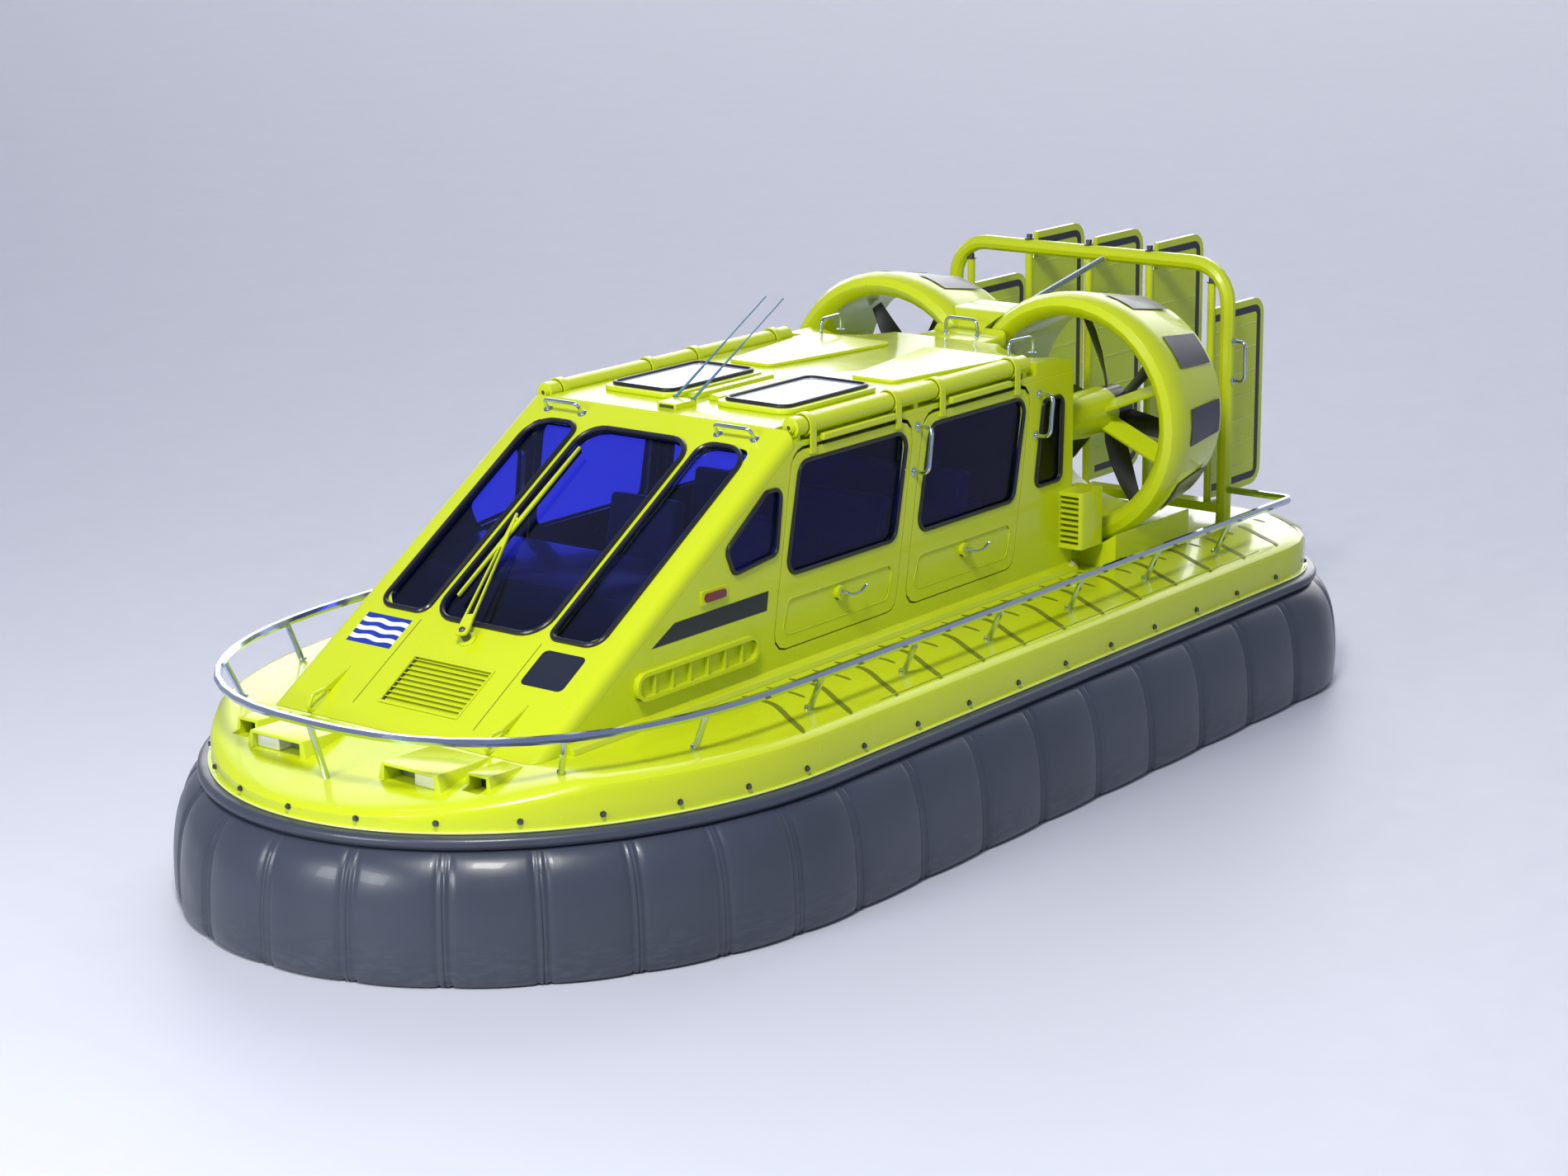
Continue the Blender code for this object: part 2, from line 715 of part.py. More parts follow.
def make_louvre_box():
    """Engine air intake on the wall's rear end, with its louvres facing forward."""
    front, rear = LOUVRE_BOX_X
    low, high = LOUVRE_BOX_Z
    root, outer = WALL_Y - 0.03, LOUVRE_BOX_Y
    plan = rounded([(rear, root), (front, root), (front, outer), (rear, outer)], (0, 0, 0.03, 0.03), 3)
    shell = prism("louvre_shell", plan, low, high, "gel_coat", "Z")
    hollow = box("louvre_hollow", (front - 0.06, WALL_Y + 0.004, low + 0.03),
                 (front + 0.05, outer - 0.024, high - 0.03), "gel_coat")
    cut(shell, hollow)
    slats = []
    for k in range(8):
        at = low + 0.050 + 0.036 * k
        section = [(front - 0.04, at + 0.012), (front - 0.04, at + 0.018),
                   (front - 0.005, at + 0.002), (front - 0.005, at - 0.004)]
        slats.append(prism("louvre", section, WALL_Y - 0.005, outer - 0.016, "gel_coat"))
    return join(shell, *slats)


def make_scoop():
    """Long raised intake under the quarter window, with upright vanes."""
    rear, front = 1.360, 2.390
    low, high = 1.120, 1.275
    length, height = front - rear, high - low
    plan = rounded([(rear, low), (front, low), (front, low + height), (rear, low + height)],
                   height * 0.46, 5)
    shell = prism("scoop_shell", plan, WALL_Y - 0.02, WALL_Y + 0.035, "gel_coat")
    rim = 0.022
    inside = rounded([(rear + rim, low + rim), (front - rim, low + rim),
                      (front - rim, low + height - rim), (rear + rim, low + height - rim)],
                     (height - 2 * rim) * 0.46, 5)
    hollow = prism("scoop_hollow", inside, WALL_Y + 0.002, WALL_Y + 0.08, "gel_coat")
    cut(shell, hollow)
    cells = 7
    middles = [rear + length * k / cells for k in range(1, cells)]
    vanes = [box("vane", (x - 0.006, WALL_Y - 0.005, low + 0.01), (x + 0.006, WALL_Y + 0.030, high - 0.01),
                 "gel_coat") for x in middles]
    return join(shell, *vanes)


def make_walls():
    base = DECK_Z + GAP
    top = ROOF_UNDER_Z - GAP
    flange = FLANGE_DROP + 2 * GAP
    outline = [(CABIN_REAR_X, base), (slope_x(base + flange), base), (slope_x(top + flange), top),
               (CABIN_REAR_X, top)]
    wall = prism("side_wall_port", outline, WALL_Y - WALL_T, WALL_Y, "gel_coat")
    tools = []
    through = (WALL_Y - 0.1, WALL_Y + 0.1)
    for edges in (FRONT_DOOR_X, REAR_DOOR_X):
        opening = door_outline((edges[0] - DOOR_GAP, edges[1] + DOOR_GAP), 0.0,
                               (0.09, 0.09, 0.12, 0.12), DOOR_HEAD_Z, DOOR_LOW_Z - DOOR_GAP)
        tools.append(prism("door_hole", opening, *through, "gel_coat"))
    for outline in (REAR_WINDOW, QUARTER_WINDOW):
        tools.append(prism("window_hole", side_window(outline, 0.05, 0.0), *through, "gel_coat"))
    cut(wall, *tools)
    join(wall, make_louvre_box(), make_scoop(), make_rub_rail())
    smooth(wall)
    other_side(wall, "side_wall_starboard")
    glass = (WALL_Y - 0.030, WALL_Y - 0.012)
    for name, outline in (("rear_window", REAR_WINDOW), ("quarter_window", QUARTER_WINDOW)):
        pane = prism(name + "_port", side_window(outline, 0.05, PANE_GAP), *glass, "tinted_glass")
        other_side(pane, name + "_starboard")


def make_rub_rail():
    """Half-round step along the cabin's foot, up to the sloping front."""
    section = [(WALL_Y - 0.01, DECK_Z + GAP), (WALL_Y + 0.055, DECK_Z + GAP),
               (WALL_Y + 0.045, DECK_Z + 0.028), (WALL_Y + 0.02, DECK_Z + 0.045),
               (WALL_Y - 0.01, DECK_Z + 0.052)]
    end = slope_x(DECK_Z + 0.052 + FLANGE_DROP) - 0.01
    return prism("rub_rail", section, CABIN_REAR_X, end, "gel_coat", "X")


def make_roof():
    """Roof moulding: raised middle, gutters under the hinge tubes, two air scoops aft."""
    front = ROOF_FRONT_X
    crown = [(CABIN_REAR_X, ROOF_UNDER_Z), (front, ROOF_UNDER_Z), (front, slope_z(front)),
             (front - 0.05, ROOF_Z), (CABIN_REAR_X, ROOF_Z)]
    roof = prism("roof_panel", crown, -GUTTER_HALF, GUTTER_HALF, "gel_coat")
    tools = []
    for side in (1, -1):
        ends = sorted((side * ROOF_HALF, side * (GUTTER_HALF + 0.1)))
        tools.append(box("gutter", (GUTTER_REAR_X, ends[0], GUTTER_Z),
                         (front + 0.1, ends[1], ROOF_Z + 0.1), "gel_coat"))
        tools.append(ball("air_scoop", (CABIN_REAR_X - 0.18, side * DUCT_Y, ROOF_Z + 0.16),
                          (0.62, 0.46, 0.25), "gel_coat"))
        tools.append(prism("hatch_hole", hatch_outline(side, HATCH_SEAT), ROOF_Z - 0.2, ROOF_Z + 0.1,
                           "gel_coat", "Z"))
    tools.append(box("roof_inside", (CABIN_REAR_X + 0.25, -0.80, ROOF_UNDER_Z - 0.1),
                     (front - 0.05, 0.80, ROOF_Z - 0.045), "gel_coat"))
    cut(roof, *tools)
    return smooth(roof)


GUTTER_REAR_X = -1.420
HATCH_X = (-0.185, 0.710)
HATCH_Y = (0.150, 0.690)
HATCH_SEAT = 0.035            # width of the rim that each lid rests on
HATCH_T = 0.030


def hatch_outline(side, inset):
    low_y, high_y = sorted((side * HATCH_Y[0], side * HATCH_Y[1]))
    corners = [(HATCH_X[0] + inset, low_y + inset), (HATCH_X[1] - inset, low_y + inset),
               (HATCH_X[1] - inset, high_y - inset), (HATCH_X[0] + inset, high_y - inset)]
    return rounded(corners, 0.08 - inset, 3)


def make_hatches():
    """Glazed roof hatches, hinged at their inboard edges. Their lids lie on the roof."""
    for side, name in ((1, "roof_hatch_port"), (-1, "roof_hatch_starboard")):
        lid = prism(name, hatch_outline(side, 0.0), ROOF_Z + GAP, ROOF_Z + HATCH_T, "tinted_glass", "Z")
        bevel(lid, 0.006, 2, 60)


def make_bulkhead():
    """Rear wall of the cabin."""
    half = WALL_Y - WALL_T - GAP
    return box("rear_bulkhead", (CABIN_REAR_X, -half, DECK_Z + GAP),
               (CABIN_REAR_X + WALL_T, half, ROOF_UNDER_Z - GAP), "gel_coat")


def make_door(name, edges):
    """Gull-wing door with its window hole, and the two hinge straps round the tube."""
    leaf = prism(name, door_outline(edges, 0.0, (0.09, 0.09, 0.11, 0.11)), WALL_Y - WALL_T, WALL_Y,
                 "gel_coat")
    radii = (0.075, 0.075, 0.085, 0.085)
    window = door_outline(edges, WINDOW_IN, radii, DOOR_TOP_Z, WINDOW_LOW_Z)
    recess = door_outline(edges, 0.075, (0.05, 0.05, 0.05, 0.05), WINDOW_LOW_Z, DOOR_LOW_Z)
    cut(leaf, prism("window_hole", window, WALL_Y - 0.1, WALL_Y + 0.1, "gel_coat"),
        prism("recess", recess, WALL_Y - 0.006, WALL_Y + 0.1, "gel_coat"))
    rear, front = edges
    boss_x = lean((rear + front) / 2, LEVER_Z)
    boss = rod("lever_boss", (boss_x, WALL_Y - 0.02, LEVER_Z), (boss_x, WALL_Y + 0.020, LEVER_Z), 0.045,
               "gel_coat", sides=12)
    join(leaf, *[make_strap(x) for x in (rear + STRAP_IN, front - STRAP_IN)], boss)
    smooth(leaf)
    drawn = door_outline(edges, WINDOW_IN + PANE_GAP, radii, DOOR_TOP_Z, WINDOW_LOW_Z)
    pane = prism(name.replace("door", "door_window"), drawn, WALL_Y - 0.034, WALL_Y - 0.016,
                 "tinted_glass")
    return leaf, pane


def make_strap(x):
    """Hinge strap: a band round the tube and a leg down to the leaf."""
    ends = (x - STRAP_HALF, x + STRAP_HALF)
    ring = rod("strap_ring", (ends[0], TUBE_Y, TUBE_Z), (ends[1], TUBE_Y, TUBE_Z), STRAP_R, "gel_coat",
               sides=16)
    leg = box("strap_leg", (ends[0], LEG_Y[0], DOOR_TOP_Z - 0.030), (ends[1], LEG_Y[1], TUBE_Z), "gel_coat")
    foot = box("strap_foot", (ends[0], WALL_Y - 0.010, DOOR_TOP_Z - 0.030),
               (ends[1], LEG_Y[1], DOOR_TOP_Z - 0.002), "gel_coat")
    join(ring, leg, foot)
    bore = rod("strap_bore", (x - 0.1, TUBE_Y, TUBE_Z), (x + 0.1, TUBE_Y, TUBE_Z), STRAP_BORE_R,
               "gel_coat", sides=24)
    return cut(ring, bore)


def make_doors():
    for label, edges in (("door_front", FRONT_DOOR_X), ("door_rear", REAR_DOOR_X)):
        leaf, pane = make_door(label + "_port", edges)
        other_side(leaf, label + "_starboard")
        other_side(pane, label.replace("door", "door_window") + "_starboard")


SADDLE_X = -0.192             # middle saddle, between the two doors


def make_tubes():
    """Hinge tubes that carry the doors, capped at both ends."""
    rear, front = TUBE_X
    tube = rod("hinge_tube_port", (rear, TUBE_Y, TUBE_Z), (front, TUBE_Y, TUBE_Z), TUBE_R, "gel_coat",
               sides=24)
    boss = rod("tube_boss", (front - 0.001, TUBE_Y, TUBE_Z), (front + 0.012, TUBE_Y, TUBE_Z), 0.035,
               "gel_coat", sides=16)
    saddles = [box("saddle", (x - 0.02, ROOF_HALF + 0.003, GUTTER_Z + GAP),
                   (x + 0.02, TUBE_Y + 0.03, TUBE_Z - 0.03), "gel_coat")
               for x in (rear + 0.02, SADDLE_X, front - 0.03)]
    join(tube, boss, *saddles)
    smooth(tube)
    other_side(tube, "hinge_tube_starboard")


def make_seat(name, x, y, width):
    """Seat of one closed solid: cushion, back and base."""
    side = [(x - 0.06, BOARD_TOP_Z + GAP), (x + 0.42, BOARD_TOP_Z + GAP), (x + 0.50, 1.16),
            (x + 0.48, 1.22), (x + 0.06, 1.19), (x - 0.06, 1.72), (x - 0.17, 1.70), (x - 0.10, 1.10)]
    return bevel(prism(name, side, y - width / 2, y + width / 2, "seat_vinyl"), 0.02, 1, 20)


def make_inside():
    make_seat("seat_driver", 0.72, -0.42, 0.50)
    make_seat("seat_passenger", 0.72, 0.42, 0.50)
    make_seat("bench_middle", -0.10, 0.0, 1.40)
    make_seat("bench_rear", -0.92, 0.0, 1.40)
    front = 2.10
    top = slope_z(front) - PANEL_DROP - 0.03
    dash = [(1.72, BOARD_TOP_Z + GAP), (front, BOARD_TOP_Z + GAP), (front, top), (1.62, top + 0.10),
            (1.56, top - 0.06)]
    bevel(prism("dash_console", dash, -0.80, 0.80, "dark_composite"), 0.012, 2)
    box("engine_block", (-1.72, -0.36, BOARD_TOP_Z + GAP), (-1.27, 0.36, 1.36), "engine_metal")


# Ducts, propellers and rudders

def make_duct():
    """Duct ring with its lip, the fixed vanes and the drive fairing, port side."""
    front, rear = DUCT_FRONT_X, DUCT_REAR_X
    profile = [(front + 0.002, 0.725), (front - 0.012, 0.690), (front - 0.0675, DUCT_R),
               (PROP_X - 0.08, DUCT_R), (rear, DUCT_R + 0.012), (rear, DUCT_R + 0.035),
               (rear + 0.25, 0.735), (front - 0.19, 0.792), (front - 0.07, 0.800),
               (front - 0.018, 0.772)]
    centre = (0, DUCT_Y, DUCT_Z)
    duct = turned("duct_port", profile, centre, DUCT_STEPS, "gel_coat")
    pod_front = CABIN_REAR_X - GAP
    pod_profile = [(pod_front, 0.0), (pod_front, 0.118), (-2.05, 0.130), (-2.30, POD_R),
                   (POD_END_X, POD_R), (POD_END_X, 0.0)]
    pod = turned("pod", pod_profile, centre, 24, "gel_coat")
    vanes = []
    plan = [(-0.075, 0.09), (0.075, 0.09), (0.085, DUCT_R + 0.02), (-0.065, DUCT_R + 0.02)]
    for angle in (STATOR_ANGLE, -STATOR_ANGLE, math.pi - STATOR_ANGLE, math.pi + STATOR_ANGLE):
        vane = prism("vane", plan, -0.009, 0.009, "gel_coat")
        twist = Matrix.Rotation(math.radians(22), 4, "Z")
        lay = Matrix.Rotation(angle - math.pi / 2, 4, "X")
        vane.matrix_world = Matrix.Translation((STATOR_X, DUCT_Y, DUCT_Z)) @ lay @ twist
        vanes.append(bake(vane))
    join(duct, pod, *vanes)
    middle = box("middle_cut", (rear - 0.2, -0.5, 0.8), (front + 0.2, 0.5 * GAP, 3.0), "gel_coat")
    bore = rod("shaft_bore", (POD_END_X - 0.05, DUCT_Y, DUCT_Z), (POD_END_X + BORE_DEPTH, DUCT_Y, DUCT_Z),
               BORE_R, "gel_coat")
    cut(duct, middle, bore)
    smooth(duct)
    other_side(duct, "duct_starboard")


BLADE_SECTION = ((-0.5, 0.0), (-0.15, 0.5), (0.25, 0.45), (0.5, 0.0), (0.25, -0.45), (-0.15, -0.5))


def blade_shape(angle):
    """One swept blade lofted from thin lens-shaped sections."""
    shape = bmesh.new()
    rows = []
    stations = 5
    for k in range(stations):
        share = k / (stations - 1)
        radius = 0.08 + (PROP_R - 0.08) * share
        chord = 0.075 + 0.075 * math.sin(math.pi * min(1.0, 0.15 + share * 0.85)) * (1 - 0.25 * share)
        thick = 0.018 * (1 - 0.75 * share)
        pitch = math.radians(58 - 36 * share)
        sweep = 0.10 * share ** 2
        row = []
        for along, rise in BLADE_SECTION:
            across = along * chord
            x = across * math.sin(pitch) + rise * thick * math.cos(pitch)
            y = across * math.cos(pitch) - rise * thick * math.sin(pitch) - sweep
            row.append(shape.verts.new((x, y, math.sqrt(max(radius ** 2 - y ** 2, 0.0)))))
        rows.append(row)
    for a, b in zip(rows, rows[1:]):
        for i in range(6):
            n = (i + 1) % 6
            shape.faces.new((a[i], a[n], b[n], b[i]))
    shape.faces.new(rows[0])
    shape.faces.new(rows[-1])
    bmesh.ops.rotate(shape, cent=(0, 0, 0), matrix=Matrix.Rotation(angle, 3, "X"), verts=shape.verts)
    bmesh.ops.translate(shape, vec=(PROP_X, DUCT_Y, DUCT_Z), verts=shape.verts)
    return from_bmesh("blade", shape, "dark_composite")


def make_propeller():
    front, rear = HUB_FRONT_X, PROP_X - 0.085
    tip = POD_END_X + BORE_DEPTH - GAP
    profile = [(tip, 0.0), (tip, SHAFT_R), (front, SHAFT_R), (front, POD_R - 0.006),
               (rear + 0.03, POD_R - 0.012), (rear - 0.01, 0.10), (rear - 0.05, 0.05), (rear - 0.06, 0.0)]
    hub = turned("propeller_port", profile, (0, DUCT_Y, DUCT_Z), 24, "dark_composite")
    blades = [blade_shape(math.radians(10) + 2 * math.pi * k / BLADES) for k in range(BLADES)]
    join(hub, *blades)
    smooth(hub, 40)
    other_side(hub, "propeller_starboard")


def make_cowl():
    """Central cowl that fills the valley between the two ducts, level with the roof."""
    front, rear = CABIN_REAR_X - GAP, DUCT_REAR_X + 0.10
    outline = [(front, 2.05), (front, ROOF_Z - 0.005), (DUCT_FRONT_X + 0.05, ROOF_Z - 0.005),
               (DUCT_FRONT_X - 0.10, 2.47), (rear + 0.25, 2.47), (rear, 2.40), (rear, 2.05)]
    cowl = bevel(prism("centre_cowl", outline, -0.27, 0.27, "gel_coat"), 0.025, 3)
    tools = []
    for side in (1, -1):
        tools.append(rod("duct_clear", (DUCT_FRONT_X + 0.006, side * DUCT_Y, DUCT_Z),
                         (rear - 0.3, side * DUCT_Y, DUCT_Z), DUCT_CLEAR_R, "gel_coat", sides=48))
        tools.append(rod("inflow_clear", (CABIN_REAR_X + 0.2, side * DUCT_Y, DUCT_Z),
                         (DUCT_FRONT_X, side * DUCT_Y, DUCT_Z), 0.62, "gel_coat", sides=48))
    cut(cowl, *tools)
    return smooth(cowl)


def make_plinth():
    """Base that carries the ducts on the after deck."""
    plinth = box("duct_plinth", (DUCT_REAR_X + 0.02, -1.20, DECK_Z + GAP), (CABIN_REAR_X - GAP, 1.20, 1.33),
                 "gel_coat")
    bevel(plinth, 0.03, 2)
    tools = []
    for side in (1, -1):
        tools.append(rod("saddle_cut", (DUCT_REAR_X - 0.3, side * DUCT_Y, DUCT_Z),
                         (CABIN_REAR_X + 0.3, side * DUCT_Y, DUCT_Z), DUCT_CLEAR_R, "gel_coat", sides=48))
        low_y, high_y = sorted((side * (WALL_Y - 0.035), side * 1.3))
        tools.append(box("louvre_clear", (LOUVRE_BOX_X[1] - 0.006, low_y, DECK_Z - 0.1),
                         (CABIN_REAR_X + 0.1, high_y, 1.6), "gel_coat"))
    cut(plinth, *tools)
    return smooth(plinth)


def frame_path():
    """Arch that the rudders hang in, from port foot to starboard foot."""
    half = rounded([(FRAME_Y, DECK_Z + GAP), (FRAME_Y, FRAME_TOP_Z), (0.0, FRAME_TOP_Z)],
                   (0, FRAME_CORNER_R, 0), 6)
    points = [(SHAFT_X, y, z) for y, z in half[:-1]]
    return points + [(x, -y, z) for x, y, z in reversed(points)]


def make_rudder_frame():
    arch = pipe("rudder_frame", frame_path(), FRAME_TUBE_R, "gel_coat", 16)
    sill = box("sill", (SHAFT_X - 0.06, -FRAME_Y, SILL_Z[0]), (SHAFT_X + 0.06, FRAME_Y, SILL_Z[1]),
               "gel_coat")
    stay = rod("stay", (SHAFT_X + 0.02, STAY_Y, FRAME_TOP_Z - 0.01), (STAY_FOOT_X, STAY_Y, STAY_FOOT_Z),
               0.018, "gel_coat", sides=12)
    join(arch, sill, stay)
    return smooth(arch)


def make_rudders():
    """Five plates, each hung on its own upright shaft behind the propellers."""
    names = ("rudder_port_outer", "rudder_port_inner", "rudder_centre", "rudder_starboard_inner",
             "rudder_starboard_outer")
    for k, name in enumerate(names):
        y = RUDDER_PITCH * (2 - k)
        outermost = k in (0, 4)
        foot = SILL_Z[1] + GAP
        arch_z = FRAME_TOP_Z - FRAME_TUBE_R - GAP
        top = 2.38 if outermost else 2.765
        shaft_top = OUTER_SHAFT_TOP_Z if outermost else arch_z
        low = foot + 0.012
        if outermost:
            plan = rounded([(SHAFT_X, low), (RUDDER_REAR_X, low), (RUDDER_REAR_X, top), (SHAFT_X, top)],
                           (0, 0.12, 0.12, 0), 4)
        else:
            clear = SHAFT_X - RUDDER_CLEAR
            plan = rounded([(SHAFT_X, low), (RUDDER_REAR_X, low), (RUDDER_REAR_X, top), (clear, top),
                            (clear, arch_z - 0.03), (SHAFT_X, arch_z - 0.03)],
                           (0, 0.12, 0.12, 0.0, 0, 0), 4)
        plate = prism(name, plan, y - RUDDER_T / 2, y + RUDDER_T / 2, "gel_coat")
        shaft = rod("shaft", (SHAFT_X, y, foot), (SHAFT_X, y, shaft_top), 0.026, "gel_coat", sides=16)
        join(plate, shaft)
        smooth(plate)


def rail_point(run, offset):
    return edge_point(run, offset, RAIL_HALF, RAIL_RUN)


def run_at_x(x):
    """Distance along the rail's port outline, from the bow, to where it passes x."""
    i = max(k for k in range(len(RAIL_HALF) - 1) if RAIL_HALF[k].x >= x)
    share = (RAIL_HALF[i].x - x) / (RAIL_HALF[i].x - RAIL_HALF[i + 1].x)
    return RAIL_RUN[i] + (RAIL_RUN[i + 1] - RAIL_RUN[i]) * share


def make_handrail():
    """Tubular rail round the bow and sides, in seven lengths, on posts that lean outwards."""
    bow_run = RAIL_RUN[BOW_STEPS]
    bow = [rail_point(bow_run * k / RAIL_BOW_STEPS, RAIL_IN) for k in range(RAIL_BOW_STEPS + 1)]
    side_y = HALF_BEAM + RAIL_IN
    path = [(bow[0].x, 0.0, RAIL_Z)] + [(point.x, point.y, RAIL_Z) for point in bow[1:]]
    path += [(RAIL_REAR_X + 0.05, side_y, RAIL_Z), (RAIL_REAR_X + 0.015, side_y - 0.015, RAIL_Z),
             (RAIL_REAR_X, side_y - 0.05, RAIL_Z), (RAIL_REAR_X, FRAME_Y + FRAME_TUBE_R + GAP, RAIL_Z)]
    whole = [(x, -y, z) for x, y, z in reversed(path[1:])] + path
    rail = pipe("handrail", whole, RAIL_R, "polished_steel", 8)
    posts = []
    for run in [0.0] + [run_at_x(x) for x in POST_X]:
        foot = rail_point(run, POST_IN)
        head = rail_point(run, RAIL_IN)
        for side in ((1,) if run == 0.0 else (1, -1)):
            low = (foot.x, side * foot.y, deck_z(foot.x) - 0.02)
            posts.append(rod("post", low, (head.x, side * head.y, RAIL_Z), POST_R, "polished_steel",
                             sides=8))
    join(rail, *posts)
    under = [(STERN_X, 0.5), (BOW_X + 0.2, 0.5), (BOW_X + 0.2, deck_z(BOW_X + 0.2) + GAP),
             (FORE_DECK_X, DECK_Z + GAP), (STERN_X, DECK_Z + GAP)]
    cut(rail, prism("under_deck", under, -2.0, 2.0, "polished_steel"))
    ends = [BOW_X + 0.2] + list(RAIL_JOINTS_X) + [STERN_X]
    lengths = list(zip(("fore", "mid", "aft"), ends[1:], ends[2:]))
    for name, front_x, rear_x in lengths:
        low, high = (rear_x + GAP / 2, 0.2, HULL_BOTTOM_Z), (front_x - GAP / 2, 2.0, RAIL_Z + 0.1)
        length = rail.copy()
        length.data = rail.data.copy()
        length.name = length.data.name = "handrail_%s_port" % name
        CRAFT.objects.link(length)
        boolean(length, [box("room", low, high, "polished_steel")], "INTERSECT")
        smooth(length)
        smooth(other_side(length, "handrail_%s_starboard" % name))
    rail.name = rail.data.name = "handrail_bow"
    low, high = (ends[1] + GAP / 2, -2.0, HULL_BOTTOM_Z), (ends[0], 2.0, RAIL_Z + 0.1)
    boolean(rail, [box("room", low, high, "polished_steel")], "INTERSECT")
    return smooth(rail)


make_skirt()
make_deck()
make_hull()
make_nose()
make_walls()
make_roof()
make_bulkhead()
make_hatches()
make_tubes()
make_doors()
make_inside()
make_duct()
make_propeller()
make_cowl()
make_plinth()
make_rudder_frame()
make_rudders()
make_handrail()
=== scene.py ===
"""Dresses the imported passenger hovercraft: materials, skirt cloth, trim, fittings and lights.

Metres, in the CAD's frame: X forward, Y to port, Z up, ground at Z = 0.
"""
import json
from math import atan, cos, dist, exp, pi, radians, sin, sqrt, tan

import bmesh
import bpy
from mathutils import Matrix, Vector


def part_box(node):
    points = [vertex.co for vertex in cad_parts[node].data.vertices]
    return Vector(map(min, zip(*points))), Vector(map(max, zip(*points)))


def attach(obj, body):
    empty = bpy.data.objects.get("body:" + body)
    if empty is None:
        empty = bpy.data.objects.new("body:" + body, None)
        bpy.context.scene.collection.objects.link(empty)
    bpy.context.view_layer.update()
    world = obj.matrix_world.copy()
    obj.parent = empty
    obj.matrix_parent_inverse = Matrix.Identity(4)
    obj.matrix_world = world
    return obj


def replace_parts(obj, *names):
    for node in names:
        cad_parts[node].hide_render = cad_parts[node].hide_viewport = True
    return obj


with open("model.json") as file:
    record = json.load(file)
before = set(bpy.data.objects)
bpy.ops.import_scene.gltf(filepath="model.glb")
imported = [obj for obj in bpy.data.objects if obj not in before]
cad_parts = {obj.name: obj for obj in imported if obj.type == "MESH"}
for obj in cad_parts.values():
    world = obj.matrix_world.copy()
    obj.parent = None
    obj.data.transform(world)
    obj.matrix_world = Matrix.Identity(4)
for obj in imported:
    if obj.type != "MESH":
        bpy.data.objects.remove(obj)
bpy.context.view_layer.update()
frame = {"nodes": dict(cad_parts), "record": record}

NODES = frame["nodes"]
CLEAR = 0.0004           # thin trim starts this far off what carries it
METAL, DARK = "polished_steel", "dark_composite"         # the record's slots

# Sizes that part.py gives too
HALF_BEAM, BOW_X, BOW_START_X, BOW_POWER, RAIL_BOW_POWER = 1.755, 3.969, 1.764, 2.0, 2.4
STERN_X, STERN_RADIUS, STERN_SEAM_X = -3.967, 0.81, -2.910
FINGER_TOP_Z, LIP_Z, DECK_Z = 0.675, 0.745, 0.98
FORE_DECK_X, FORE_DECK_FALL = 3.18, 0.20
BOW_FINGERS, SIDE_FINGERS, STERN_FINGERS = 7, 8, 4
WALL_Y = 0.955
ROOF_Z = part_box("roof_panel")[1].z
SLOPE_TOP, SLOPE_FALL = (1.024, 2.321), 0.6234
RAKE, DOOR_REF_Z, DOOR_TOP_Z, DOOR_LOW_Z = 0.18, 2.220, 2.215, 1.125
FRONT_DOOR_X, REAR_DOOR_X = (-0.142, 1.003), (-1.362, -0.240)
TUBE_Y, TUBE_Z, TUBE_R = 0.900, 2.340, 0.057
DUCT_Y, DUCT_Z = 0.714, 1.847
SHAFT_X, RUDDER_PITCH, RUDDER_T = -3.492, 0.474, 0.030
RUDDER_LOW_Z, RUDDER_REAR_X = 1.1123, -4.160
SHORT_RUDDER_TOP_Z, SHORT_SHAFT_TOP_Z = 2.38, 2.5525     # the two outer rudders

# Where the dress puts its own parts
BOLT_Z = 0.800           # above the lip, on the upright flank
DOOR_WAIST_Z = 1.475     # between a door's window and its recess
INSIDE_SHADE_LOW_Z, INSIDE_SHADE_TOP_Z = DECK_Z + 0.06, 2.262        # of the painted shade on upright faces inside the cabin


# Outlines of the deck edge and of the handrail, as in part.py

BOW_STEPS, CORNER_STEPS = 60, 16


def half_outline(power):
    """Port half of a plan outline, from the bow's middle to the stern's middle."""
    points = []
    for k in range(BOW_STEPS + 1):
        turn = pi / 2 * k / BOW_STEPS
        points.append(Vector((BOW_START_X + (BOW_X - BOW_START_X) * cos(turn) ** (2 / power),
                              HALF_BEAM * sin(turn) ** (2 / power))))
    centre = Vector((STERN_X + STERN_RADIUS, HALF_BEAM - STERN_RADIUS))
    for k in range(CORNER_STEPS + 1):
        turn = pi / 2 * (1 + k / CORNER_STEPS)
        points.append(centre + STERN_RADIUS * Vector((cos(turn), sin(turn))))
    points.append(Vector((STERN_X, 0.0)))
    return points


def distances(half):
    """Distance along an outline from the bow's middle to each of its points."""
    marks = [0.0]
    for first, second in zip(half, half[1:]):
        marks.append(marks[-1] + (second - first).length)
    return marks


HALF = half_outline(BOW_POWER)
RUN = distances(HALF)
BOW_RUN = RUN[BOW_STEPS]
RAIL_HALF = half_outline(RAIL_BOW_POWER)
RAIL_RUN = distances(RAIL_HALF)


def facing(half, k):
    """Outward direction at a point of an outline."""
    before = half[k] - (half[k - 1] if k else Vector((half[1].x, -half[1].y)))
    after = (half[k + 1] if k + 1 < len(half) else half[k] - Vector((0, 1))) - half[k]
    along = before.normalized() + after.normalized()
    return Vector((along.y, -along.x)).normalized()


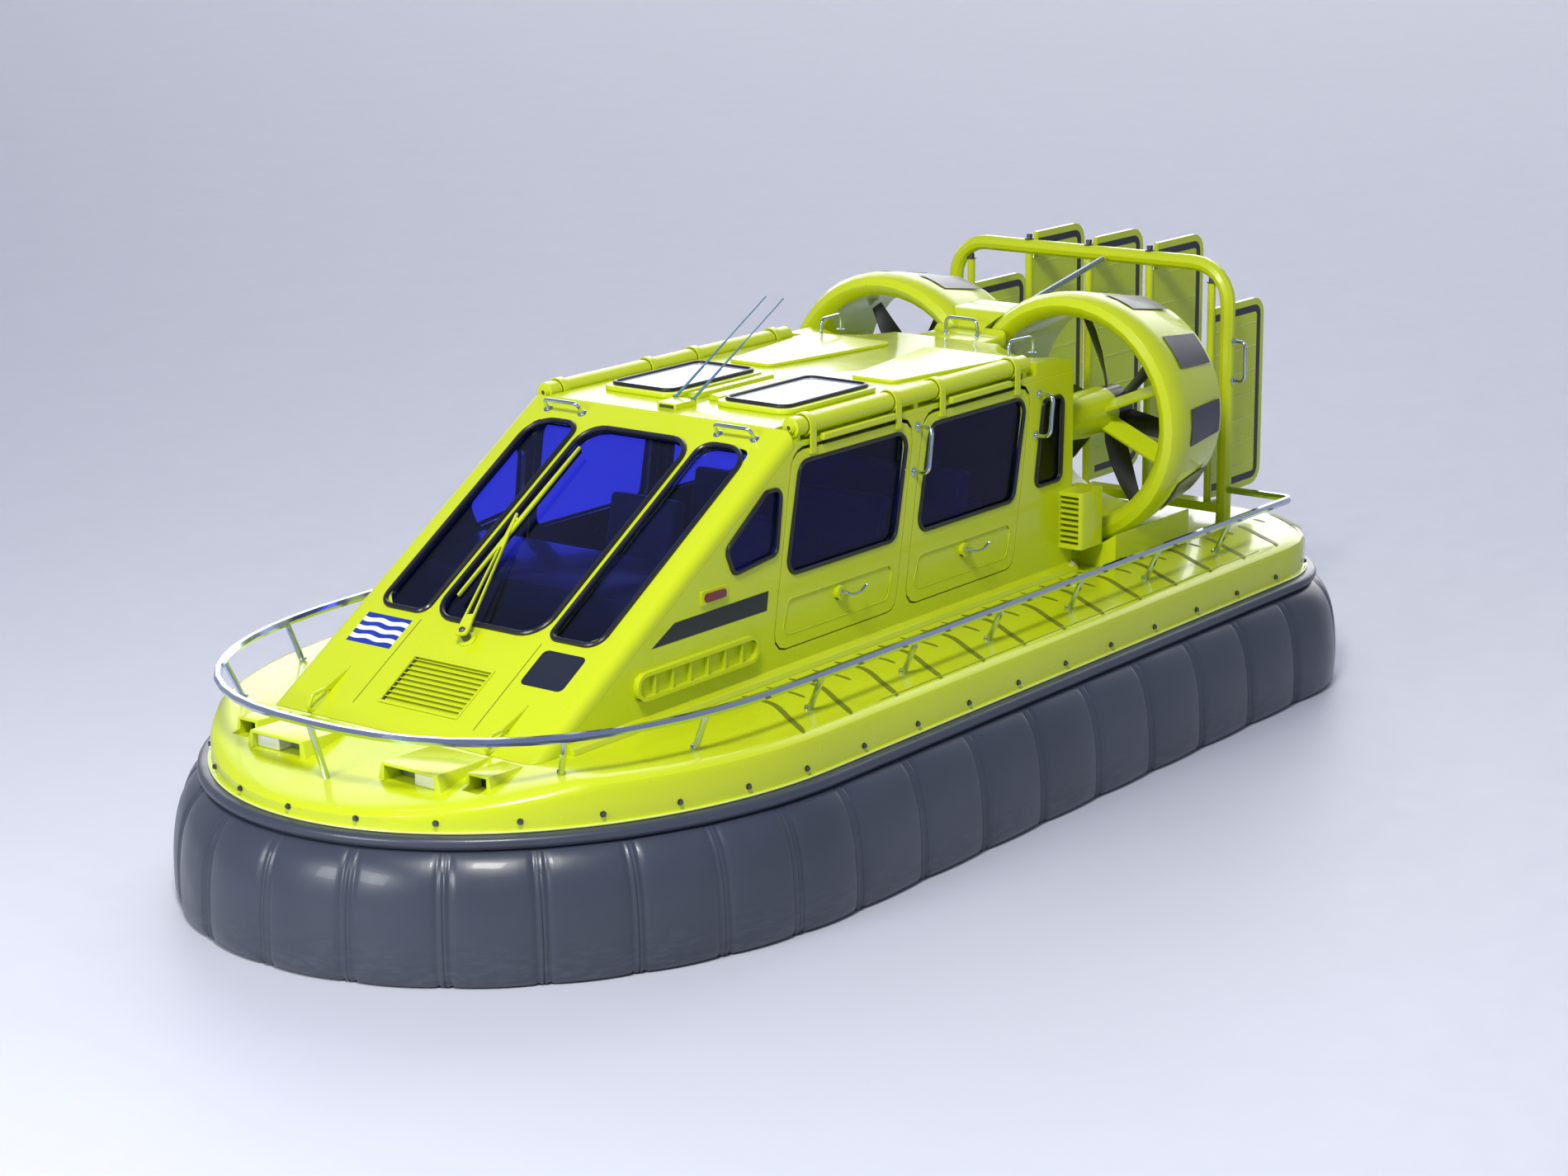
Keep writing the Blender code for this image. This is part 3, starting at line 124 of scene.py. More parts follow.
def edge_point(run, offset=0.0, half=HALF, marks=RUN):
    """Point on a port outline at a distance from the bow, moved outwards by offset."""
    run = min(max(run, 0.0), marks[-1])
    i = max(k for k in range(len(marks) - 1) if marks[k] <= run + 1e-9)
    share = (run - marks[i]) / (marks[i + 1] - marks[i])
    out = (facing(half, i) * (1 - share) + facing(half, i + 1) * share).normalized()
    return half[i].lerp(half[i + 1], share) + out * offset


def run_at_x(x, half=HALF, marks=RUN):
    """Distance along a port outline, from the bow, to where it passes x."""
    i = max(k for k in range(len(half) - 1) if half[k].x >= x)
    return marks[i] + (marks[i + 1] - marks[i]) * (half[i].x - x) / (half[i].x - half[i + 1].x)


def seams():
    """Distances from the bow's middle to each seam of the skirt."""
    side_end = BOW_RUN + BOW_START_X - STERN_SEAM_X
    marks = [BOW_RUN * k / BOW_FINGERS for k in range(BOW_FINGERS)]
    marks += [BOW_RUN + (side_end - BOW_RUN) * k / SIDE_FINGERS for k in range(SIDE_FINGERS)]
    return marks + [side_end + (RUN[-1] - side_end) * k / STERN_FINGERS
                    for k in range(STERN_FINGERS + 1)]


def ring_path(z, offset, count=220):
    """Closed path all round the deck edge at one height."""
    port = [edge_point(RUN[-1] * k / count, offset) for k in range(count + 1)]
    loop = [Vector((p.x, p.y, z)) for p in port]
    loop[0].y = loop[-1].y = 0.0
    return loop + [Vector((p.x, -p.y, z)) for p in reversed(loop[1:-1])]


def edge_half_width(x):
    """Half width of the deck where its stern corners round in."""
    back = max(STERN_X + STERN_RADIUS - x, 0.0)
    return HALF_BEAM - STERN_RADIUS + sqrt(max(STERN_RADIUS ** 2 - back ** 2, 0.0))


def deck_z(x):
    """Height of the deck, which falls over the fore deck."""
    return DECK_Z - max(0.0, x - FORE_DECK_X) * FORE_DECK_FALL


def lean(x, z):
    """X of a raked door edge at height z, from its X at the reference height."""
    return x + RAKE * (DOOR_REF_Z - z)


SLOPE = atan(SLOPE_FALL)
DOWN = Vector((cos(SLOPE), 0.0, -sin(SLOPE)))
OUT = Vector((sin(SLOPE), 0.0, cos(SLOPE)))


def on_slope(s, y, out=0.0):
    """Point s metres down the sloping front from its top and out metres off its face."""
    return Vector((SLOPE_TOP[0], y, SLOPE_TOP[1])) + DOWN * s + OUT * out


def oblong(u0, v0, u1, v1):
    """Corners of a rectangle."""
    return [(u0, v0), (u1, v0), (u1, v1), (u0, v1)]


def around(count):
    """Evenly spaced angles of a full turn."""
    return [2 * pi * k / count for k in range(count)]


# Places for a slab's outline (u, v) and its height w

def lying(u, v, w):
    """u forward, v to port, w up."""
    return Vector((u, v, w))


def standing(u, v, w):
    """u forward, v up, w to port."""
    return Vector((u, w, v))


def on_wall(u, v, w):
    """u forward, v up, w out from the port side wall."""
    return Vector((u, WALL_Y + w, v))


# Materials

def mixed(tree, low, high, factor):
    """Mix of two colours, each given by its numbers or by a socket."""
    mix = tree.nodes.new("ShaderNodeMix")
    mix.data_type = "RGBA"
    for name, value in (("A", low), ("B", high)):
        if isinstance(value, tuple):
            mix.inputs[name].default_value = (*value, 1)
        else:
            tree.links.new(value, mix.inputs[name])
    tree.links.new(factor, mix.inputs["Factor"])
    return mix.outputs["Result"]


def ranged(tree, value, low, high, start=0.0, end=1.0):
    """Value mapped from start..end to low..high."""
    span = tree.nodes.new("ShaderNodeMapRange")
    for socket, number in zip(("From Min", "From Max", "To Min", "To Max"), (start, end, low, high)):
        span.inputs[socket].default_value = number
    tree.links.new(value, span.inputs["Value"])
    return span.outputs["Result"]


def maths(tree, kind, *values):
    """Math node on sockets or numbers."""
    node = tree.nodes.new("ShaderNodeMath")
    node.operation = kind
    for socket, value in zip(node.inputs, values):
        if isinstance(value, float):
            socket.default_value = value
        else:
            tree.links.new(value, socket)
    return node.outputs[0]


def split(tree, vector):
    """X, Y and Z sockets of a vector."""
    parts = tree.nodes.new("ShaderNodeSeparateXYZ")
    tree.links.new(vector, parts.inputs["Vector"])
    return parts.outputs


def noise_at(tree, scale, detail=3.0, rough=0.5, stretch=None):
    """Noise in the object's own coordinates."""
    place = tree.nodes.new("ShaderNodeTexCoord").outputs["Object"]
    if stretch:
        mapping = tree.nodes.new("ShaderNodeMapping")
        mapping.inputs["Scale"].default_value = stretch
        tree.links.new(place, mapping.inputs["Vector"])
        place = mapping.outputs["Vector"]
    texture = tree.nodes.new("ShaderNodeTexNoise")
    for socket, number in (("Scale", scale), ("Detail", detail), ("Roughness", rough)):
        texture.inputs[socket].default_value = number
    tree.links.new(place, texture.inputs["Vector"])
    return texture.outputs["Fac"]


def finish(name, colour, rough, tone=0.04, rough_span=0.04, grain=(220, 0.02), patch=0.9, metal=0.0,
           coat=0.0, sheen=0.0, soft_edge=0.0, **sockets):
    """Principled material with broad colour variation, uneven gloss and fine bump."""
    material = bpy.data.materials.new(name)
    material.use_nodes = True
    tree = material.node_tree
    inputs = tree.nodes["Principled BSDF"].inputs
    low, high = [tuple(min(1.0, c * (1 + s * tone)) for c in colour) for s in (-1, 1)]
    broad = ranged(tree, noise_at(tree, patch, 4.0), 0, 1, 0.3, 0.7)
    tree.links.new(mixed(tree, low, high, broad), inputs["Base Color"])
    gloss = ranged(tree, noise_at(tree, 5.0, 5.0), rough - rough_span, rough + rough_span, 0.3, 0.7)
    tree.links.new(gloss, inputs["Roughness"])
    bump = tree.nodes.new("ShaderNodeBump")
    bump.inputs["Strength"].default_value = grain[1]
    bump.inputs["Distance"].default_value = 0.002
    tree.links.new(noise_at(tree, grain[0], 3.0, 0.6), bump.inputs["Height"])
    if soft_edge:
        edge = tree.nodes.new("ShaderNodeBevel")
        edge.samples = 4
        edge.inputs["Radius"].default_value = soft_edge
        tree.links.new(edge.outputs["Normal"], bump.inputs["Normal"])
    tree.links.new(bump.outputs["Normal"], inputs["Normal"])
    for socket, value in (("Metallic", metal), ("Coat Weight", coat), ("Coat Roughness", 0.04),
                          ("Sheen Weight", sheen), *sockets.items()):
        inputs[socket.replace("_", " ")].default_value = value
    return material


def overlay(material, colour, factor):
    """Lays a second colour over a material's base colour, by a factor."""
    base = material.node_tree.nodes["Principled BSDF"].inputs["Base Color"]
    result = mixed(material.node_tree, base.links[0].from_socket, colour, factor)
    material.node_tree.links.new(result, base)


LIME = (0.60, 0.70, 0.008)
GEL = finish("gel_coat_lime", LIME, 0.25, 0.03, 0.04, (260, 0.012), coat=0.28, soft_edge=0.006)
PALE = finish("gel_coat_lip", (0.76, 0.86, 0.22), 0.25, 0.03, 0.03, (260, 0.02), coat=0.3)
# Dark olive for the deck's grooves: painted shade, laid on raised strips
GROOVE_SHADE = finish("groove_painted_shade", (0.17, 0.20, 0.008), 0.45, 0.08, 0.05, (260, 0.05))
SEAM = finish("seam_line", (0.05, 0.06, 0.012), 0.6, 0.1, 0.05, (260, 0.05))
STEEL = finish("polished_steel_tube", (0.58, 0.66, 0.80), 0.09, 0.04, 0.03, (400, 0.01), metal=1.0)
BOLT = finish("bolt_steel", (0.10, 0.11, 0.13), 0.34, 0.12, 0.06, (500, 0.05), metal=0.8)
WHIP = finish("aerial_rod", (0.14, 0.27, 0.42), 0.30, 0.08, 0.05, (500, 0.05), metal=0.3)
RUBBER = finish("black_rubber", (0.010, 0.012, 0.020), 0.32, 0.15, 0.06, (600, 0.06), coat=0.1)
BLACK = finish("black_film", (0.012, 0.016, 0.030), 0.36, 0.1, 0.04, (300, 0.02), coat=0.08)
COMPOSITE = finish("dark_composite_weave", (0.018, 0.017, 0.019), 0.36, 0.2, 0.08, (480, 0.12), coat=0.2)
VINYL = finish("seat_vinyl_grain", (0.045, 0.05, 0.065), 0.55, 0.12, 0.06, (420, 0.25), sheen=0.1)
CASTING = finish("engine_casting", (0.10, 0.10, 0.105), 0.5, 0.2, 0.1, (180, 0.3), metal=0.5)
WHITE = finish("flag_white", (0.88, 0.90, 0.92), 0.3, 0.03, 0.04, (300, 0.02), coat=0.3)
BLUE = finish("flag_blue", (0.010, 0.035, 0.36), 0.3, 0.06, 0.04, (300, 0.02), coat=0.3)
RED = finish("marker_red", (0.16, 0.004, 0.004), 0.12, 0.1, 0.03, (200, 0.05), coat=0.6)
LAMP = finish("lamp_reflector", (0.80, 0.80, 0.80), 0.18, 0.06, 0.05, (120, 0.1), metal=0.6,
              Emission_Color=(1, 0.98, 0.92, 1), Emission_Strength=0.06)
STRUT = finish("stay_steel", (0.30, 0.36, 0.42), 0.28, 0.06, 0.05, (400, 0.03), metal=0.9)
# Near-black box inside the headlight inlets: painted shade
INLET_SHADE = finish("inlet_painted_shade", (0.006, 0.007, 0.004), 0.7, 0.2, 0.1, (200, 0.1))


def skirt_cloth():
    """Rubberised cloth: blue-grey, fine weave, faint scuffs towards the ground."""
    material = finish("skirt_cloth", (0.046, 0.055, 0.080), 0.34, 0.10, 0.05, (900, 0.10), patch=1.4,
                      coat=0.12)
    tree = material.node_tree
    place = split(tree, tree.nodes.new("ShaderNodeNewGeometry").outputs["Position"])
    low_down = ranged(tree, place["Z"], 1.0, 0.0, 0.0, 0.30)
    patchy = ranged(tree, noise_at(tree, 9.0, 6.0, 0.7, (1, 1, 4)), 0, 0.55, 0.45, 0.75)
    overlay(material, (0.13, 0.135, 0.15), maths(tree, "MULTIPLY", low_down, patchy))
    return material


def gel_coat_shaded_inside():
    """Gel coat outside, with painted shade on faces that look into the cabin and on faces that look down,
    but not on the hinge straps.
    """
    material = GEL.copy()
    material.name = "gel_coat_painted_inside_shade"
    tree = material.node_tree
    geometry = tree.nodes.new("ShaderNodeNewGeometry").outputs
    place, normal = split(tree, geometry["Position"]), split(tree, geometry["True Normal"])
    sideways = maths(tree, "MULTIPLY", normal["Y"], maths(tree, "SIGN", place["Y"]))
    inward = maths(tree, "LESS_THAN", sideways, -0.7)
    near = maths(tree, "LESS_THAN", maths(tree, "ABSOLUTE", place["Y"]), 0.93)
    below = maths(tree, "LESS_THAN", place["Z"], INSIDE_SHADE_TOP_Z)
    upright = maths(tree, "MULTIPLY", maths(tree, "MULTIPLY", inward, near), below)
    inner = maths(tree, "MAXIMUM", upright, maths(tree, "LESS_THAN", normal["Z"], -0.5))
    inner = maths(tree, "MULTIPLY", inner, maths(tree, "GREATER_THAN", place["Z"], INSIDE_SHADE_LOW_Z))
    # Painted shade: a dark colour laid over the faces that look into the cabin and the faces that look down
    overlay(material, (0.05, 0.055, 0.065), inner)
    return material


def pane(name, tint, bend):
    """Tinted safety glass; a low bend keeps the reflections weak, as on coated panes."""
    return finish(name, tint, 0.02, 0.02, 0.01, (3, 0.004), patch=0.6, IOR=bend,
                  Transmission_Weight=1.0)


SKIRT = skirt_cloth()
SHADED_INSIDE_GEL = gel_coat_shaded_inside()
SCREEN = pane("windscreen_glass", (0.34, 0.38, 0.95), 1.35)
SIDE_GLASS = pane("side_glass", (0.11, 0.13, 0.95), 1.22)
HATCH_GLASS = finish("hatch_acrylic", (0.82, 0.85, 0.90), 0.10, 0.02, 0.03, (200, 0.01), coat=0.6)

BY_SLOT = {"gel_coat": GEL, "skirt_fabric": SKIRT, "tinted_glass": SIDE_GLASS, "polished_steel": STEEL,
           "dark_composite": COMPOSITE, "seat_vinyl": VINYL, "engine_metal": CASTING}


def angle_smoothing(limit=radians(35)):
    """Node group that welds a mesh's loose triangles and shades it smooth up to an angle."""
    tree = bpy.data.node_groups.new("smooth_by_angle", "GeometryNodeTree")
    tree.interface.new_socket("Geometry", in_out="INPUT", socket_type="NodeSocketGeometry")
    tree.interface.new_socket("Geometry", in_out="OUTPUT", socket_type="NodeSocketGeometry")
    nodes, links = tree.nodes, tree.links
    bare = nodes.new("GeometryNodeRemoveAttribute")
    bare.inputs["Name"].default_value = "custom_normal"
    weld = nodes.new("GeometryNodeMergeByDistance")
    weld.inputs["Distance"].default_value = 0.00005
    faces, edges = nodes.new("GeometryNodeSetShadeSmooth"), nodes.new("GeometryNodeSetShadeSmooth")
    faces.domain, edges.domain = "FACE", "EDGE"
    bend = nodes.new("GeometryNodeInputMeshEdgeAngle").outputs["Unsigned Angle"]
    links.new(maths(tree, "LESS_THAN", bend, limit), edges.inputs["Shade Smooth"])
    chain = [nodes.new("NodeGroupInput"), bare, weld, faces, edges, nodes.new("NodeGroupOutput")]
    for first, second in zip(chain, chain[1:]):
        links.new(first.outputs["Geometry"], second.inputs["Geometry"])
    return tree


def dress_nodes():
    """Gives every CAD node its material, and smooth shading over the flat steps of round forms."""
    slots = {part["node"]: part["material_slot"] for part in frame["record"]["subparts"]}
    smoothing = angle_smoothing()
    for name, item in NODES.items():
        material = BY_SLOT[slots[name]]
        if name.startswith("windscreen"):
            material = SCREEN
        elif name.startswith("roof_hatch"):
            material = GEL
        elif name.startswith(("side_wall", "roof_panel", "nose_panel", "rear_bulkhead", "door_front",
                              "door_rear")):
            material = SHADED_INSIDE_GEL
        item.data.materials.clear()
        item.data.materials.append(material)
        item.modifiers.new("smooth_by_angle", "NODES").node_group = smoothing


# Mesh gathering

def placed(name, data):
    """New object in the scene."""
    item = bpy.data.objects.new(name, data)
    bpy.context.scene.collection.objects.link(item)
    return item


class Kit:
    """Gathers closed solids into one mesh, with a material number for each."""

    def __init__(self):
        self.points, self.faces, self.marks = [], [], []

    def add(self, points, faces, mark=0):
        base = len(self.points)
        self.points += [Vector(p) for p in points]
        self.faces += [[base + i for i in face] for face in faces]
        self.marks += [mark] * len(faces)

    def rings(self, rings, mark=0, closed=False):
        """Loft between rings of equal length, capped unless it closes on itself."""
        size = len(rings[0])
        points = [p for ring in rings for p in ring]
        faces = []
        for j in range(len(rings) if closed else len(rings) - 1):
            a, b = j * size, (j + 1) % len(rings) * size
            faces += [(a + i, a + (i + 1) % size, b + (i + 1) % size, b + i) for i in range(size)]
        if not closed:
            faces += [tuple(range(size)), tuple((len(rings) - 1) * size + i for i in range(size))]
        self.add(points, faces, mark)

    def tube(self, path, radius, sides=10, closed=False, mark=0, flat=1.0):
        """Round bar along a path; flat squashes it in its second direction."""
        path = [Vector(p) for p in path]
        radii = radius if isinstance(radius, list) else [radius] * len(path)
        side, rings = None, []
        for k, point in enumerate(path):
            along = Vector()
            if k or closed:
                along += (point - path[k - 1]).normalized()
            if closed or k + 1 < len(path):
                along += (path[(k + 1) % len(path)] - point).normalized()
            along.normalize()
            if side is None:
                side = along.cross(Vector((0, 0, 1)))
                if side.length < 0.1:
                    side = along.cross(Vector((0, 1, 0)))
            side = (side - along * side.dot(along)).normalized()
            up = along.cross(side)
            rings.append([point + (side * cos(a) + up * sin(a) * flat) * radii[k]
                          for a in around(sides)])
        self.rings(rings, mark, closed)

    def lathe(self, profile, origin, axis, sides=16, mark=0):
        """Profile of (distance along the axis, radius) turned about the axis."""
        origin, axis = Vector(origin), Vector(axis).normalized()
        side = axis.orthogonal().normalized()
        up = axis.cross(side)
        self.rings([[origin + axis * t + (side * cos(a) + up * sin(a)) * r
                     for a in around(sides)] for t, r in profile], mark)

    def slab(self, outline, place, low, high, mark=0, edge=0.0):
        """Flat outline of (u, v) placed by place(u, v, height), from low to high, with a soft edge."""
        rings = [[place(u, v, low) for u, v in outline]]
        if edge:
            middle = [sum(p[n] for p in outline) / len(outline) for n in (0, 1)]
            shrink = 1 - edge / max(dist(p, middle) for p in outline)
            rings.append([place(u, v, high - edge * 0.7) for u, v in outline])
            rings.append([place(middle[0] + (u - middle[0]) * shrink, middle[1] + (v - middle[1]) * shrink,
                                high) for u, v in outline])
        else:
            rings.append([place(u, v, high) for u, v in outline])
        self.rings(rings, mark)

    def box(self, low, high, mark=0):
        self.slab(oblong(*low[:2], *high[:2]), lying, low[2], high[2], mark)

    def hex_bolt(self, foot, axis, size=0.011, mark=0):
        """Washer and hexagon head."""
        self.lathe([(0, size * 1.35), (size * 0.25, size * 1.35)], foot, axis, 14, mark)
        foot = Vector(foot) + Vector(axis).normalized() * (size * 0.25 + 0.0001)
        self.lathe([(0, size), (size * 0.85, size), (size * 1.1, size * 0.8)], foot, axis, 6, mark)

    def mirrored(self):
        """The same solids on the other side of the craft's middle plane."""
        twin = Kit()
        twin.points = [Vector((p.x, -p.y, p.z)) for p in self.points]
        twin.faces, twin.marks = self.faces, self.marks
        return twin

    def make(self, name, materials, body="craft", slot="gel_coat", angle=35, bevel=0.0):
        """Piece of the scene that rides on a body; edges sharper than angle stay sharp."""
        shape = bmesh.new()
        verts = [shape.verts.new(p) for p in self.points]
        for face, mark in zip(self.faces, self.marks):
            shape.faces.new([verts[i] for i in face]).material_index = mark
        bmesh.ops.recalc_face_normals(shape, faces=shape.faces)
        data = bpy.data.meshes.new(name)
        shape.to_mesh(data)
        shape.free()
        for material in materials if isinstance(materials, list) else [materials]:
            data.materials.append(material)
        data.shade_smooth()
        data.set_sharp_from_angle(angle=radians(angle))
        item = placed(name, data)
        if bevel:
            step = item.modifiers.new("edges", "BEVEL")
            step.width, step.segments = bevel, 2
            step.limit_method = "ANGLE"
            step.angle_limit = radians(40)
        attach(item, body)
        return item


def both(kit, name, materials, body="craft", **more):
    """One piece on the port side and its mirror image on the starboard side."""
    for side, part in (("port", kit), ("starboard", kit.mirrored())):
        part.make("%s_%s" % (name, side), materials, body.replace("*", side), **more)


def rounded(corners, radii, steps=5):
    """Corners of a closed outline turned into arcs."""
    points = []
    radii = radii if isinstance(radii, (list, tuple)) else [radii] * len(corners)
    for k, corner in enumerate(corners):
        corner, radius = Vector(corner), radii[k]
        before = (Vector(corners[k - 1]) - corner).normalized()
        after = (Vector(corners[(k + 1) % len(corners)]) - corner).normalized()
        half = before.angle(after) / 2
        reach = radius / tan(half)
        middle = corner + (before + after).normalized() * (radius / sin(half))
        first, last = corner + before * reach - middle, corner + after * reach - middle
        turn = first.angle(last)
        for s in range(steps + 1):
            share = s / steps
            arm = (first * sin((1 - share) * turn) + last * sin(share * turn)) / sin(turn)
            points.append(tuple(middle + arm))
    return points


def bent(points, radius, steps=6):
    """Open path through points, with its inner corners rounded."""
    path = [Vector(points[0])]
    for a, b, c in zip(points, points[1:], points[2:]):
        a, b, c = Vector(a), Vector(b), Vector(c)
        before, after = (a - b).normalized(), (c - b).normalized()
        half = before.angle(after) / 2
        reach = min(radius / tan(half), (a - b).length * 0.49, (c - b).length * 0.49)
        start, end = b + before * reach, b + after * reach
        for s in range(steps + 1):
            t = s / steps
            path.append(start * (1 - t) ** 2 + b * (2 * t * (1 - t)) + end * t ** 2)
    return path + [Vector(points[-1])]


def smooth_curve(points, steps=8):
    """Open curve through points (Catmull-Rom)."""
    points = [Vector(p) for p in points]
    ends = [points[0] * 2 - points[1]] + points + [points[-1] * 2 - points[-2]]
    path = []
    for a, b, c, d in zip(ends, ends[1:], ends[2:], ends[3:]):
        for s in range(steps):
            t = s / steps
            path.append(0.5 * (b * 2 + (c - a) * t + (a * 2 - b * 5 + c * 4 - d) * t ** 2
                               + (b * 3 - a - c * 3 + d) * t ** 3))
    return path + [points[-1]]


def grab_handle(kit, first, last, out, height=0.085, radius=0.011):
    """Bent bar on two round flanges."""
    first, last, out = Vector(first), Vector(last), Vector(out).normalized()
    kit.tube(bent([first, first + out * height, last + out * height, last], 0.045), radius, 12)
    for foot in (first, last):
        kit.lathe([(CLEAR, 0.028), (0.004, 0.028), (0.006, 0.024), (0.0061, 0.015), (0.016, 0.014)],
                  foot, out, 20)


# Skirt

SEAM_DEPTH, WELT = 0.034, 0.012     # how far a finger is drawn in at its seam; the welt on it


def all_round(port):
    """Rings of the port side from bow to stern, joined by their mirror images."""
    for point in port[0] + port[-1]:
        point.y = 0.0
    return port + [[Vector((p.x, -p.y, p.z)) for p in ring] for ring in reversed(port[1:-1])]


def skirt_station(share, length):
    """How far a finger is drawn in at a share of its width, and how its welt stands out."""
    gap = min(share, 1 - share) * length
    crown = SEAM_DEPTH * (1 - sin(pi * share) ** 0.36)
    groove = 0.008 * exp(-((gap - 0.030) / 0.009) ** 2)
    welt = WELT * exp(-(gap / 0.013) ** 2)
    return crown * 0.9 + groove - welt


def make_skirt():
    """One cloth ring of crowned fingers, and the bag ring above it."""
    marks = seams()
    near = [0.0, 0.008, 0.014, 0.020, 0.028, 0.036, 0.046, 0.065, 0.10]
    runs, depth = [], []
    for a, b in zip(marks, marks[1:]):
        length = b - a
        cuts = near + [length * k / 8 for k in range(2, 7)] + [length - n for n in reversed(near[1:])]
        for cut in cuts:
            runs.append(a + cut)
            depth.append(skirt_station(cut / length, length))
    runs.append(marks[-1])
    depth.append(skirt_station(0.0, 1.0))
    # Offset from the deck edge, height, and how much of a seam's depth the cloth takes there
    outer = [(0.045, FINGER_TOP_Z, 0.2), (0.088, 0.655, 0.7), (0.140, 0.600, 0.9), (0.180, 0.525, 1.0),
             (0.204, 0.440, 1.0), (0.219, 0.350, 1.0), (0.227, 0.260, 1.0), (0.230, 0.170, 1.0),
             (0.229, 0.085, 1.0), (0.222, 0.040, 1.0), (0.206, 0.012, 0.9), (0.185, 0.0, 0.8)]
    inner = [(0.110, 0.0, 0.0), (-0.120, 0.420, 0.0), (-0.200, FINGER_TOP_Z, 0.0)]
    profile = [tuple(v) for v in smooth_curve(outer, 2)] + inner
    port = []
    for run, drawn in zip(runs, depth):
        ring = []
        for offset, z, weight in profile:
            place = edge_point(run, offset - drawn * weight)
            lift = 0.022 * (max(0.0, drawn - 0.012) / 0.03) * weight * max(0.0, 1 - z / 0.12)
            ring.append(Vector((place.x, place.y, max(0.0, z) + lift)))
        port.append(ring)
    cloth = Kit()
    cloth.rings(all_round(port), closed=True)
    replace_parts(cloth.make("skirt_fingers_cloth", SKIRT, slot="skirt_fabric", angle=60), "skirt_fingers")
    low, high = FINGER_TOP_Z + CLEAR, LIP_Z - CLEAR
    profile = [(-0.200, low), (0.045, low), (0.062, low + 0.004), (0.073, low + 0.014), (0.079, low + 0.030),
               (0.076, high - 0.020), (0.066, high - 0.008), (0.050, high - 0.002), (0.030, high),
               (-0.200, high)]
    steps = 130
    port = []
    for k in range(steps + 1):
        places = [edge_point(RUN[-1] * k / steps, offset) for offset, z in profile]
        port.append([Vector((p.x, p.y, z)) for p, (offset, z) in zip(places, profile)])
    bag = Kit()
    bag.rings(all_round(port), closed=True)
    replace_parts(bag.make("skirt_bag_cloth", SKIRT, slot="skirt_fabric", angle=60), "skirt_bag")


# Deck

def ribbon(path, half):
    """Outline of a strip of a given half width along a flat path, with round ends."""
    left, right = [], []
    path = [Vector(p) for p in path]
    for k, point in enumerate(path):
        along = (path[min(k + 1, len(path) - 1)] - path[max(k - 1, 0)]).normalized()
        side = Vector((-along.y, along.x))
        taper = half * min(1.0, 0.35 + 1.3 * min(k, len(path) - 1 - k) / 3)
        left.append(tuple(point + side * taper))
        right.append(tuple(point - side * taper))
    return left + right[::-1]


def strip(kit, path, half, z, height):
    """Low strip along a flat path, on a surface whose height is z(x)."""
    outline = ribbon(path, half)
    n = len(outline)
    points = [Vector((x, y, z(x) + h)) for h in (CLEAR, height) for x, y in outline]
    faces = []
    for k in range(n // 2 - 1):
        faces.append((k, k + 1, n - 2 - k, n - 1 - k))
        faces.append((n + k, n + k + 1, 2 * n - 2 - k, 2 * n - 1 - k))
    kit.add(points, faces + [(i, (i + 1) % n, n + (i + 1) % n, n + i) for i in range(n)])


